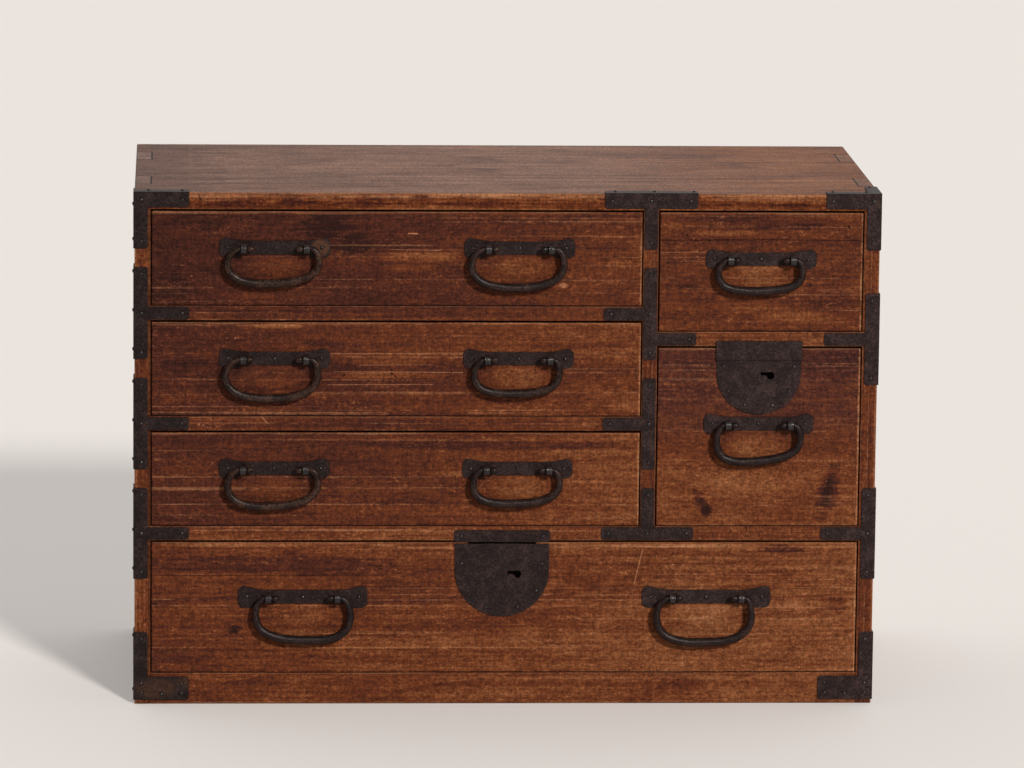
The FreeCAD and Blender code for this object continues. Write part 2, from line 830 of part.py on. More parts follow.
def straps(name, made):
    """One node of straps, punched for their nails and rounded at the free corners.

    The places of the nails are given back.
    """
    spots = [head for _, heads, _ in made for head in heads]
    corners = [free for _, _, ends in made for free in ends]
    node(name, cut(f"{name}_cut", group(f"{name}_blanks", [iron for iron, _, _ in made]),
                   [copies(f"{name}_holes", nail_hole, spots),
                    placed(f"{name}_rounders", corner_rounder, corners)]))
    return spots


carcass_spots = straps("corner_irons", [
    top_corner_iron("top_left_iron", -1, ear=False),
    top_corner_iron("top_right_iron", 1, ear=True),
    foot_corner_iron("foot_left_iron", -1),
    foot_corner_iron("foot_right_iron", 1),
])
carcass_spots += straps("edge_irons", [
    edge_iron("left_upper_iron", -1, upper_shelf),
    edge_iron("left_lower_iron", -1, lower_shelf),
    edge_iron("left_long_iron", -1, long_shelf),
    edge_iron("right_shelf_iron", 1, right_shelf),
    edge_iron("right_long_iron", 1, long_shelf),
])
carcass_spots += straps("centre_irons", [
    head_iron("head_iron"),
    crossing_iron("upper_crossing", (middle(upper_shelf) - size.iron_reach,
                                     middle(upper_shelf) + size.iron_reach),
                  ((-1, upper_shelf), (1, right_shelf))),
    crossing_iron("lower_crossing", (middle(lower_shelf) - size.iron_reach,
                                     middle(lower_shelf) + size.iron_reach),
                  ((-1, lower_shelf),)),
    foot_iron("foot_iron"),
])


def strike(lock):
    """The strip on the long shelf in front of the wide drawer's bolt."""
    x = (lock.x - size.strike_length / 2, lock.x + size.strike_length / 2)
    z = (long_shelf[0] - size.strike_lap, long_shelf[0] - size.strike_lap + size.strike_height)
    strip = box("strike_strip", x, front_sheet, z)
    spots = [front_spot(x[0] + inset, middle(z)), front_spot(x[1] - inset, middle(z))]
    return strip, spots, arm_tip(x[0], z, -1) + arm_tip(x[1], z, 1)


carcass_spots += straps("bottom_lock_strike", [strike(locks["bottom"])])

back_nail_x = place("back_nail_x", middle((inside, rebated)))
back_spots = [spot(side * back_nail_x, back, (index + share) * plank_height, OUT_BACK)
              for side in (-1, 1) for index in range(BACK_PLANKS) for share in BACK_NAIL_LEVELS]
node("carcass_nails", group("carcass_nail_set", [
    copies("front_nails", short_nail, carcass_spots),
    copies("back_nails", back_nail, back_spots),
]))


# ---------------------------------------------------------------- handles


def handle_kind(kind):
    """The sizes of one kind of handle."""
    sizes = ("plate_width", "plate_end_height", "plate_neck_height", "eye_spacing", "bail_width",
             "bail_drop")
    return SimpleNamespace(**{word: getattr(size, f"{kind}_{word}") for word in sizes})


KINDS = {kind: handle_kind(kind) for kind in ("small", "large")}


def flare(run, rise):
    """Radius of an arc that leaves a straight edge and rises over its run."""
    return (run * run + rise * rise) / (2 * rise)


def plate_corners(kind):
    """A long plate with flared, rounded ends; its neck is straight."""
    half = kind.plate_width / 2
    end = kind.plate_end_height / 2
    neck = kind.plate_neck_height / 2
    corner = size.plate_corner_radius
    flare_run = size.plate_flare_length - corner
    flare_x = half - size.plate_flare_length
    step_x = half - size.plate_end_length
    neck_x = step_x - size.plate_step_length
    top = flare(flare_run, end - neck)
    step = flare(size.plate_step_length, end - neck)
    return [
        (-half, end - corner, (corner, 1)),
        (-(half - corner), end, (top, -1)),
        (-flare_x, neck, None),
        (flare_x, neck, (top, -1)),
        (half - corner, end, (corner, 1)),
        (half, end - corner, None),
        (half, -(end - corner), (corner, 1)),
        (half - corner, -end, None),
        (step_x, -end, (step, -1)),
        (neck_x, -neck, None),
        (-neck_x, -neck, (step, -1)),
        (-step_x, -end, None),
        (-(half - corner), -end, (corner, 1)),
        (-half, -(end - corner), None),
    ]


def plate_nail_x(kind):
    return kind.plate_width / 2 - size.plate_nail_inset


def round_hole(sketch, x, radius):
    index = sketch.addGeometry(Part.Circle(Vector(number(x), 0, 0), Vector(0, 0, 1),
                                           number(radius)), False)
    bind(sketch, "Radius", index, length=radius)
    sketch.addConstraint(Sketcher.Constraint("PointOnObject", index, 3, -1))
    if number(x):
        bind(sketch, "DistanceX", -1, 1, index, 3, length=x)
    else:
        sketch.addConstraint(Sketcher.Constraint("PointOnObject", index, 3, -2))


def handle_plate(name, kind, x, z):
    """A handle's back plate, with holes for its two eyes and three nails."""
    body = doc.addObject("PartDesign::Body", name)
    sketch = sketch_on(body, f"{name}_outline", "XZ_Plane")
    outline(sketch, plate_corners(kind))
    for side in (-1, 1):
        round_hole(sketch, side * kind.eye_spacing / 2, size.eye_stem_radius + size.eye_play)
        round_hole(sketch, side * plate_nail_x(kind), size.nail_radius + size.nail_play)
    round_hole(sketch, 0, size.nail_radius + size.nail_play)
    pad(body, sketch, size.plate_thickness)
    move(body, x, front, z)
    return body


def eye(name):
    """A split eye: a ring for the bail, a stem through the drawer front, and two bent legs."""
    width = (-size.eye_width / 2, size.eye_width / 2)
    hole = size.bail_pin_radius + size.bail_play
    stem_start = (size.eye_radius + hole) / 2
    stem_end = size.eye_reach + size.front_thickness + size.clinch_thickness
    ring = cut(f"{name}_ring",
               cylinder(f"{name}_disc", size.eye_radius, size.eye_width, (width[0], 0, 0), "X"),
               [cylinder(f"{name}_bore", hole, size.eye_width + 2 * PAST,
                         (width[0] - PAST, 0, 0), "X")])
    stem = cylinder(f"{name}_stem", size.eye_stem_radius, stem_end - stem_start,
                    (0, stem_start, 0), "Y")
    legs = box(f"{name}_legs", (-size.eye_stem_radius, size.eye_stem_radius),
               (stem_end - size.clinch_thickness, stem_end),
               (-size.clinch_length, size.clinch_length))
    return fused(name, [ring, stem, legs])


def bail_route(kind):
    """The bar of a hanging bail, from one shoulder round to the other."""
    half = kind.bail_width / 2
    bend = size.bail_bend_radius
    corner = size.bail_corner_radius
    side_end = bend + size.bail_side_length
    fall = kind.bail_drop - side_end
    run = half - corner
    sweep = (run * run + fall * fall - corner * corner) / (2 * (fall - corner))
    lean = run / (sweep - corner)
    rise = root(1 - lean * lean)
    low_x = sweep * lean
    low_z = sweep - kind.bail_drop - sweep * rise
    shoulder = half - bend
    return [
        (shoulder, 0, (bend, 1)),
        (half, -bend, None),
        (half, -side_end, (corner, 1)),
        (low_x, low_z, (sweep, 1)),
        (-low_x, low_z, (corner, 1)),
        (-half, -side_end, None),
        (-half, -bend, (bend, 1)),
        (-shoulder, 0, None),
    ]


def bail(name, kind):
    """A bail with thin end pins that turn in the eyes and knobs that keep them there."""
    shoulder = kind.bail_width / 2 - size.bail_bend_radius
    body = doc.addObject("PartDesign::Body", f"{name}_bar")
    route = sketch_on(body, f"{name}_route", "XZ_Plane")
    outline(route, bail_route(kind), closed=False)
    section = sketch_on(body, f"{name}_section", "YZ_Plane")
    section.setExpression("AttachmentOffset.Base.z", formula(shoulder))
    section.addGeometry(Part.Circle(Vector(), Vector(0, 0, 1), number(size.bail_radius)), False)
    section.addConstraint(Sketcher.Constraint("Coincident", 0, 3, -1, 1))
    bind(section, "Radius", 0, length=size.bail_radius)
    pipe = body.newObject("PartDesign::AdditivePipe", f"{name}_pipe")
    pipe.Profile = section
    pipe.Spine = (route, [])
    pipe.Transition = "Round corner"
    knob_x = kind.eye_spacing / 2 - size.eye_width / 2 - size.bail_knob_gap - size.bail_knob_radius
    ends = []
    for side in (-1, 1):
        ends.append(cylinder(f"{name}_pin", size.bail_pin_radius, shoulder - knob_x,
                             (side * knob_x if side > 0 else -shoulder, 0, 0), "X"))
        knob = doc.addObject("Part::Sphere", f"{name}_knob")
        knob.setExpression("Radius", formula(size.bail_knob_radius))
        move(knob, side * knob_x, 0, 0)
        ends.append(knob)
    return fused(name, [body] + ends)


eye_master = eye("eye")
bail_masters = {kind: bail(f"{kind}_bail", sizes) for kind, sizes in KINDS.items()}
doc.recompute()


def placed_bail(name, kind, x, z):
    item = doc.addObject("Part::Feature", name)
    item.Shape = bail_masters[kind].Shape.copy()
    item.Placement = Placement(Vector(number(x), number(front - size.eye_reach), number(z)),
                               Rotation())
    return node(name, item)


# ---------------------------------------------------------------- locks


def lock_plate(lock):
    """A plate with a round foot and a keyhole, and the guide for the bolt behind it."""
    name = f"{lock.name}_lock_plate"
    half = lock.width / 2
    body = doc.addObject("PartDesign::Body", f"{name}_sheet")
    sketch = sketch_on(body, f"{name}_outline", "XZ_Plane")
    outline(sketch, [
        (-half, lock.top - lock.round_z, None),
        (half, lock.top - lock.round_z, None),
        (half, 0, (half, 1)),
        (0, -half, (half, 1)),
        (-half, 0, None),
    ])
    pad(body, sketch, size.lock_plate_thickness)
    move(body, lock.x, front, lock.round_z)
    through = (front - size.lock_plate_thickness - PAST, front + PAST)
    hole = cylinder(f"{name}_keyhole", size.keyhole_radius, through[1] - through[0],
                    (lock.key_x, through[0], lock.key_z), "Y")
    slot = box(f"{name}_slot", (lock.key_x - size.keyhole_slot_length, lock.key_x), through,
               (lock.key_z, lock.key_z + size.keyhole_slot_height))
    keyhole = fused(f"{name}_key_cut", [hole, slot])
    spots = lock_spots(lock)
    sheet = cut(f"{name}_pierced", body, [keyhole])
    drilled = cut(f"{name}_drilled", sheet, [copies(f"{name}_nail_holes", nail_hole, spots)])
    return fused(f"{name}_with_guide", [drilled] + guide(lock)), spots


def lock_spots(lock):
    """Nails down both edges of a lock plate."""
    face = front - size.lock_plate_thickness
    reach = lock.width / 2 - size.lock_nail_inset
    places = [(reach, lock.round_z + size.lock_nail_inset)]
    places += [(reach * math.cos(turn), lock.round_z + reach * math.sin(turn))
               for turn in DOWN_THE_LOCK]
    return [spot(lock.x + side * x, face, z, OUT_FRONT) for side in (-1, 1) for x, z in places]


def guide(lock):
    """A staple on the back of the plate that the bolt slides in; its foot stops against it."""
    half = size.bolt_width / 2 + size.bolt_play
    rear = front + size.bolt_setback + size.bolt_thickness + size.bolt_play
    z = (lock.bolt_low + size.bolt_foot_height + size.bolt_travel + size.bolt_play,
         lock.bolt_high - size.bolt_sink)
    legs = [box(f"{lock.name}_guide_leg", (low, low + size.guide_thickness),
                (front - size.lock_plate_thickness / 2, rear), z)
            for low in (lock.x - half - size.guide_thickness, lock.x + half)]
    bridge = box(f"{lock.name}_guide_bridge",
                 (lock.x - half - size.guide_thickness, lock.x + half + size.guide_thickness),
                 (rear, front + size.pocket_depth - size.bolt_play), z)
    return legs + [bridge]


def lock_bolt(lock):
    """A flat tongue with a wider foot below the guide."""
    y = (front + size.bolt_setback, front + size.bolt_setback + size.bolt_thickness)
    half = size.bolt_width / 2
    foot = half + size.bolt_foot_reach
    tongue = box(f"{lock.name}_tongue", (lock.x - half, lock.x + half), y,
                 (lock.bolt_low, lock.bolt_high))
    base = box(f"{lock.name}_foot", (lock.x - foot, lock.x + foot), y,
               (lock.bolt_low, lock.bolt_low + size.bolt_foot_height))
    return node(f"{lock.name}_lock_bolt", fused(f"{lock.name}_bolt", [tongue, base]))


def lock_pocket(lock):
    """The pocket in a drawer front behind the lock plate, open at the top edge."""
    return box(f"{lock.name}_pocket",
               (lock.x - size.pocket_width / 2, lock.x + size.pocket_width / 2),
               (front, front + size.pocket_depth),
               (lock.key_z - size.pocket_margin, lock.drawer.z[1]))


def safe_band(lock):
    """The strip riveted across the head of the safe's lock plate."""
    half = lock.width / 2 + size.safe_band_overhang
    face = front - size.lock_plate_thickness
    return box("safe_lock_band", (lock.x - half, lock.x + half),
               (face - size.lock_plate_thickness, face), (lock.top - size.safe_band_height, lock.top))


# ---------------------------------------------------------------- drawers


def drawer_boards(drawer, pocket, stem_holes):
    """The front with its rebates, the two side walls and the back, and the floor."""
    name = f"{drawer.name}_drawer"
    rear = place(f"{drawer.name}_rear", back_inside - size.rear_gap)
    inner = front + size.front_thickness
    rebate = (inner - size.front_rebate, inner)
    seat = (drawer.z[0] + size.drawer_floor_thickness, drawer.z[1] - size.wall_drop)
    left_wall = (drawer.x[0], drawer.x[0] + size.wall_thickness)
    right_wall = (drawer.x[1] - size.wall_thickness, drawer.x[1])
    floor_z = (drawer.z[0], seat[0])

    blank = box(f"{name}_blank", drawer.x, (front, inner), drawer.z)
    cuts = [box(f"{name}_wall_rebate", wall, rebate, seat) for wall in (left_wall, right_wall)]
    cuts.append(box(f"{name}_floor_rebate", drawer.x, rebate, floor_z))
    cuts += [pocket] if pocket else []
    shaped = cut(f"{name}_shaped", blank, cuts)
    node(f"{name}_front", cut(f"{name}_drilled", shaped, stem_holes))

    walls = [box(f"{name}_wall", wall, (rebate[0], rear), seat) for wall in (left_wall, right_wall)]
    walls.append(box(f"{name}_back", (left_wall[1], right_wall[0]),
                     (rear - size.wall_thickness, rear), (seat[0], seat[1] - size.back_drop)))
    node(f"{name}_walls", group(f"{name}_wall_set", walls))
    node(f"{name}_floor", box(f"{name}_floor_board", drawer.x, (rebate[0], rear), floor_z))


def drawer_handles(drawer, lock_nails):
    """The plates, the eyes and nails, and the bails of one drawer."""
    name = f"{drawer.name}_drawer"
    kind = KINDS[drawer.kind]
    plates = [handle_plate(f"{name}_plate", kind, x, drawer.handle_z) for x in drawer.handles]
    node(f"{name}_handle_plates", group(f"{name}_plate_set", plates))

    eyes = []
    nails = list(lock_nails)
    for x in drawer.handles:
        for side in (-1, 1):
            point = spot(x + side * kind.eye_spacing / 2, front - size.eye_reach,
                         drawer.handle_z, AXES["Z"])
            eyes.append(point)
        for side in (-1, 0, 1):
            nails.append(spot(x + side * plate_nail_x(kind), front - size.plate_thickness,
                              drawer.handle_z, OUT_FRONT))
    node(f"{name}_fixings", group(f"{name}_fixing_set", [
        copies(f"{name}_eyes", eye_master, eyes),
        copies(f"{name}_nails", short_nail, nails),
    ]))
    ends = ("",) if len(drawer.handles) == 1 else ("_left", "_right")
    for end, x in zip(ends, drawer.handles):
        placed_bail(f"{name}_bail{end}", drawer.kind, x, drawer.handle_z)


def stem_holes(drawer):
    """Holes through a drawer front for the stems of its eyes."""
    kind = KINDS[drawer.kind]
    return [cylinder(f"{drawer.name}_stem_hole", size.eye_stem_radius + size.eye_play,
                     size.front_thickness + 2 * PAST,
                     (x + side * kind.eye_spacing / 2, front - PAST, drawer.handle_z), "Y")
            for x in drawer.handles for side in (-1, 1)]


for name, drawer in drawers.items():
    lock = locks.get(name)
    lock_nails = []
    if lock:
        plate, lock_nails = lock_plate(lock)
        if name == "safe":
            plate = group("safe_lock_plate_set", [plate, safe_band(lock)])
        node(f"{name}_lock_plate", plate)
        lock_bolt(lock)
    drawer_boards(drawer, lock_pocket(lock) if lock else None, stem_holes(drawer))
    drawer_handles(drawer, lock_nails)


# ---------------------------------------------------------------- check and write

doc.recompute()
for item in doc.Objects:
    if any(word in ("Invalid", "Error") for word in item.State):
        raise RuntimeError(f"{item.Name} ({item.Label}) failed: {item.State}")
for item in nodes:
    if item.Shape.isNull() or not item.Shape.isValid() or not item.Shape.Solids:
        raise RuntimeError(f"{item.Label} has no valid solid")

os.makedirs("parts", exist_ok=True)
for item in nodes:
    item.Shape.exportStep(f"parts/{item.Label}.step")
print(f"{len(nodes)} nodes written")
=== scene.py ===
"""The looks of a small tansu chest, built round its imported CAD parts.

The boards and irons that are seen are the CAD nodes themselves, with softened edges and with
materials that are reckoned from the place on the chest. Ten forged bails, no two alike, stand for
the regular ones of the CAD. X runs to the right, Y to the back and Z up. Lengths are in metres,
except where a comment or a docstring says mm.
"""

import math
from types import SimpleNamespace

import bpy
from mathutils import Matrix, Vector, noise


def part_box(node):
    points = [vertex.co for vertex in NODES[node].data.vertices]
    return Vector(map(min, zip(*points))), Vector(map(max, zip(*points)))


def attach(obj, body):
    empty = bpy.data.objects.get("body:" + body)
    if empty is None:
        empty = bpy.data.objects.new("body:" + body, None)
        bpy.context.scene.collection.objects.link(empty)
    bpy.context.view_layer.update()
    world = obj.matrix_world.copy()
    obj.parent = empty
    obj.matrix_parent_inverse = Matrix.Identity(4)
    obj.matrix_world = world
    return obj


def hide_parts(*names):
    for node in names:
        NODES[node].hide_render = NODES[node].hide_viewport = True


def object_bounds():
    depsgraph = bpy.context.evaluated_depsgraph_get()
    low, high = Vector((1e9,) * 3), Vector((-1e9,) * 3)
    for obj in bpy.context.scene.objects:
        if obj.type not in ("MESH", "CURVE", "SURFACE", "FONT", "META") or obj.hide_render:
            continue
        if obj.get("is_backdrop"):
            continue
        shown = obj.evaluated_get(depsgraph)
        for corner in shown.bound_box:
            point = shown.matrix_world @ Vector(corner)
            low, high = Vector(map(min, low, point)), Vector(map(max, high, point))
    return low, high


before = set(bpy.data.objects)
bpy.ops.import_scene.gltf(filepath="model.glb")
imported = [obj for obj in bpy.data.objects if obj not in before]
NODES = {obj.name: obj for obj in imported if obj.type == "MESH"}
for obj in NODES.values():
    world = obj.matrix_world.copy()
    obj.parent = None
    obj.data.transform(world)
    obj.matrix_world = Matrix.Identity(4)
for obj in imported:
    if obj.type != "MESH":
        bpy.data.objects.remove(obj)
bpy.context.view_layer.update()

MM = 0.001
FRONT = -0.14195  # the front faces of the boards
BACK = 0.15505
OUTSIDE = 0.303  # the side boards' outer faces, either way from the middle
TOP = 0.423
AXIS_Y = -0.15045  # the line of the handle eyes
PLANK = 0.4155 / 3  # the height of a back board

# Where a blot and a line begin and where they are whole, as shares of their half sizes.
BLOT_EDGE = (1.15, 0.55)
LINE_EDGE = (1.3, 0.3)


# ---------------------------------------------------------------- shader kit


class Reading:
    """A number inside a material, which more numbers can be reckoned from."""

    def __init__(self, shader, socket):
        self.shader = shader
        self.socket = socket

    def __add__(self, other):
        return self.shader.math("ADD", self, other)

    __radd__ = __add__

    def __sub__(self, other):
        return self.shader.math("SUBTRACT", self, other)

    def __mul__(self, other):
        return self.shader.math("MULTIPLY", self, other)

    def __pow__(self, other):
        return self.shader.math("POWER", self, other)

    def __abs__(self):
        return self.shader.math("ABSOLUTE", self)


class Shader:
    """A material whose looks are reckoned from the place on the object."""

    def __init__(self, name):
        self.material = bpy.data.materials.new(name)
        self.material.use_nodes = True
        self.tree = self.material.node_tree
        self.tree.nodes.clear()
        self.surface = self.tree.nodes.new("ShaderNodeBsdfPrincipled")
        output = self.tree.nodes.new("ShaderNodeOutputMaterial")
        self.tree.links.new(self.surface.outputs[0], output.inputs[0])
        place = self.tree.nodes.new("ShaderNodeTexCoord").outputs["Object"]
        parts = self.tree.nodes.new("ShaderNodeSeparateXYZ")
        self.tree.links.new(place, parts.inputs[0])
        self.x, self.y, self.z = (Reading(self, socket) for socket in parts.outputs)

    def feed(self, socket, value):
        """Link a reading or a socket, or write a constant."""
        if isinstance(value, Reading):
            value = value.socket
        if isinstance(value, bpy.types.NodeSocket):
            self.tree.links.new(value, socket)
        elif isinstance(value, tuple) and len(value) == 3 and socket.type == "RGBA":
            socket.default_value = (*value, 1.0)
        else:
            socket.default_value = value

    def math(self, work, *values, clamp=False):
        node = self.tree.nodes.new("ShaderNodeMath")
        node.operation = work
        node.use_clamp = clamp
        for socket, value in zip(node.inputs, values):
            self.feed(socket, value)
        return Reading(self, node.outputs[0])

    def high(self, *values):
        """The greatest of several readings."""
        found = values[0]
        for value in values[1:]:
            found = self.math("MAXIMUM", found, value)
        return found

    def step(self, value, start, end, low=0.0, high=1.0):
        """A smooth rise from low to high as the value goes from start to end."""
        node = self.tree.nodes.new("ShaderNodeMapRange")
        node.interpolation_type = "SMOOTHSTEP"
        for word, given in zip(("Value", "From Min", "From Max", "To Min", "To Max"),
                               (value, start, end, low, high)):
            self.feed(node.inputs[word], given)
        return Reading(self, node.outputs[0])

    def noise(self, a, b, c, detail=2.0, roughness=0.5, distortion=0.0):
        joint = self.tree.nodes.new("ShaderNodeCombineXYZ")
        for socket, value in zip(joint.inputs, (a, b, c)):
            self.feed(socket, value)
        node = self.tree.nodes.new("ShaderNodeTexNoise")
        self.tree.links.new(joint.outputs[0], node.inputs["Vector"])
        node.inputs["Scale"].default_value = 1.0
        node.inputs["Detail"].default_value = detail
        node.inputs["Roughness"].default_value = roughness
        node.inputs["Distortion"].default_value = distortion
        return Reading(self, node.outputs[0])

    def openness(self, reach):
        """1 in the open, less in corners and beside what stands proud within the reach; used for
        painted shade.
        """
        node = self.tree.nodes.new("ShaderNodeAmbientOcclusion")
        node.samples = 6
        node.inputs["Distance"].default_value = reach
        return Reading(self, node.outputs["AO"])

    def blend(self, share, low, high):
        """A colour between two colours."""
        node = self.tree.nodes.new("ShaderNodeMix")
        node.data_type = "RGBA"
        self.feed(node.inputs[0], share)
        self.feed(node.inputs[6], low)
        self.feed(node.inputs[7], high)
        return node.outputs[2]

    def scale(self, colour, share):
        """A colour made brighter or darker."""
        node = self.tree.nodes.new("ShaderNodeVectorMath")
        node.operation = "SCALE"
        self.feed(node.inputs[0], colour)
        self.feed(node.inputs["Scale"], share)
        return node.outputs[0]

    def ramp(self, value, stops):
        """The colour that the value finds on a line of places and colours."""
        node = self.tree.nodes.new("ShaderNodeValToRGB")
        self.feed(node.inputs[0], value)
        elements = node.color_ramp.elements
        while len(elements) < len(stops):
            elements.new(0.5)
        for element, (place, colour) in zip(elements, stops):
            element.position = place
            element.color = (*colour, 1.0)
        return node.outputs[0]

    def bump(self, height, depth):
        node = self.tree.nodes.new("ShaderNodeBump")
        node.inputs["Distance"].default_value = depth
        self.feed(node.inputs["Height"], height)
        self.feed(self.surface.inputs["Normal"], node.outputs[0])

    def near(self, axis, place, reach):
        """How far a place lies from a plane across an axis, with 1 at the reach; both in mm."""
        return abs(getattr(self, axis) - place * MM) * (1 / (reach * MM))

    def patch(self, u, v, centre, half, turn=0.0, ragged=0.0):
        """1 inside a blot, 0 outside. Its centre and half sizes are in mm, its turn in degrees."""
        across, up = u - centre[0] * MM, v - centre[1] * MM
        c, s = math.cos(math.radians(turn)), math.sin(math.radians(turn))
        p = (across * c + up * s) * (1 / (half[0] * MM))
        q = (up * c - across * s) * (1 / (half[1] * MM))
        reach = self.math("SQRT", p * p + q * q)
        return self.step(reach + ragged, *BLOT_EDGE)

    def line(self, u, v, start, end, half):
        """1 on a thin scratch between two points, 0 beside it. All are in mm."""
        (ua, va), (ub, vb) = start, end
        run, rise = (ub - ua) * MM, (vb - va) * MM
        length = run * run + rise * rise
        p, q = u - ua * MM, v - va * MM
        share = self.math("MULTIPLY_ADD", p, run / length, q * (rise / length), clamp=True)
        off_u, off_v = p - share * run, q - share * rise
        reach = self.math("SQRT", off_u * off_u + off_v * off_v)
        return self.step(reach, *(share * half * MM for share in LINE_EDGE))


# ---------------------------------------------------------------- wood

# Palettes run from the darkest wood to the lightest.
STAINED = ((0.0, (0.022, 0.0062, 0.0042)), (0.28, (0.056, 0.0138, 0.0075)),
           (0.5, (0.106, 0.0264, 0.0082)), (0.72, (0.180, 0.0610, 0.0215)),
           (1.0, (0.310, 0.1330, 0.0640)))
DUSKY = tuple((place, (0.96 * r, 1.04 * g, 1.32 * b)) for place, (r, g, b) in STAINED)
# The top's palette is greyer than the stain: partly dust, and partly a painted reflection of pale
# light from behind.
TOP_DUST_AND_SHEEN = ((0.0, (0.060, 0.0250, 0.0150)), (0.3, (0.135, 0.0600, 0.0370)),
          (0.5, (0.220, 0.1080, 0.0700)), (0.75, (0.320, 0.1700, 0.1150)),
          (1.0, (0.460, 0.2700, 0.2000)))
TOP_WARM = ((0.0, (0.050, 0.0140, 0.0050)), (0.3, (0.115, 0.0340, 0.0110)),
            (0.5, (0.190, 0.0660, 0.0260)), (0.75, (0.290, 0.1150, 0.0520)),
            (1.0, (0.400, 0.1900, 0.1000)))
PLAIN = ((0.0, (0.120, 0.0640, 0.0330)), (0.3, (0.210, 0.1200, 0.0640)),
         (0.5, (0.280, 0.1680, 0.0930)), (0.75, (0.350, 0.2200, 0.1280)),
         (1.0, (0.450, 0.3000, 0.1850)))
WORN_DEEP = (0.230, 0.0820, 0.0330)
WORN_PALE = (0.420, 0.1950, 0.0930)
# The dark of holes, cracks and seams, and of the painted shade in gaps and keyhole pockets.
DIRT_AND_SHADE = (0.010, 0.005, 0.004)

# Unstained boards are cleaner and more even.
PLAIN_LOOKS = dict(speckle=0.4, streak=1.5, fleck=0.0, cloud=0.45)

# The wood's layers of noise: features a metre along the board and across it, a shift that sets
# the layer apart from the others, and the noise's own settings.
LAYERS = dict(
    bend=(2.6, 9.0, 0.0, dict(detail=1.0)),
    shade=(2.3, 19.0, 5.0, {}),
    bands=(1.7, 85.0, 9.0, {}),
    lines=(1.6, 260.0, 1.0, dict(detail=3.0, roughness=0.6)),
    fibre=(14.0, 520.0, 2.0, dict(detail=3.0, roughness=0.7)),
    grit=(430.0, 560.0, 3.0, dict(detail=3.0, roughness=0.8)),
    cross=(560.0, 90.0, 4.0, dict(detail=3.0, roughness=0.7)),
    ridge=(1.6, 430.0, 13.0, dict(detail=1.0)),
    mottle=(26.0, 60.0, 6.0, dict(detail=5.0, roughness=0.65, distortion=0.4)),
    broad=(5.0, 14.0, 7.0, {}),
    rub=(120.0, 420.0, 8.0, dict(detail=4.0, roughness=0.7)),
    patchy=(13.0, 60.0, 11.0, dict(detail=3.0)),
    dash=(55.0, 520.0, 17.0, dict(detail=1.0)),
)
RINGS_PER_METRE = 190.0
PITH_TILT = 0.03  # how fast the middle of the tree leaves the board, along it
WOOD_ROUGHNESS = 0.46
WOOD_BUMP = 0.00030
WOOD_SHADE_REACH = 0.004  # the reach of the painted shade in corners
PLANK_SHIFT = 5.37  # how far along its grain one plank's figure is from the next one's


def worn_share(s, n, fleck, edges, scratches):
    """Where the stain is rubbed away: flecks, ridges of the grain, edges and scratches."""
    flecks = s.step(n.grit + n.rub * 0.7, 0.10, 0.26) * s.step(n.patchy, -0.04, 0.16)
    ridges = (s.step(n.ridge + n.grit * 0.15, 0.10, 0.18)
              * s.step(n.patchy + n.rub * 0.7, -0.14, 0.10))
    worn = s.high(flecks * (0.5 * fleck), ridges * (0.38 * fleck))
    rubbed = 0.0
    for axis, place, reach, strength in edges:
        off = s.near(axis, place, reach)
        rubbed = s.high(rubbed, s.step(off + n.rub * 2.4 + n.patchy * 2.4, 1.0, 0.0) * strength)
    if edges:
        worn = s.high(worn, rubbed * s.step(s.y, FRONT + 0.0035, FRONT + 0.0015))
    for start, end, half, strength in scratches:
        worn = s.high(worn, s.line(s.x, s.z, start, end, half) * strength)
    return worn


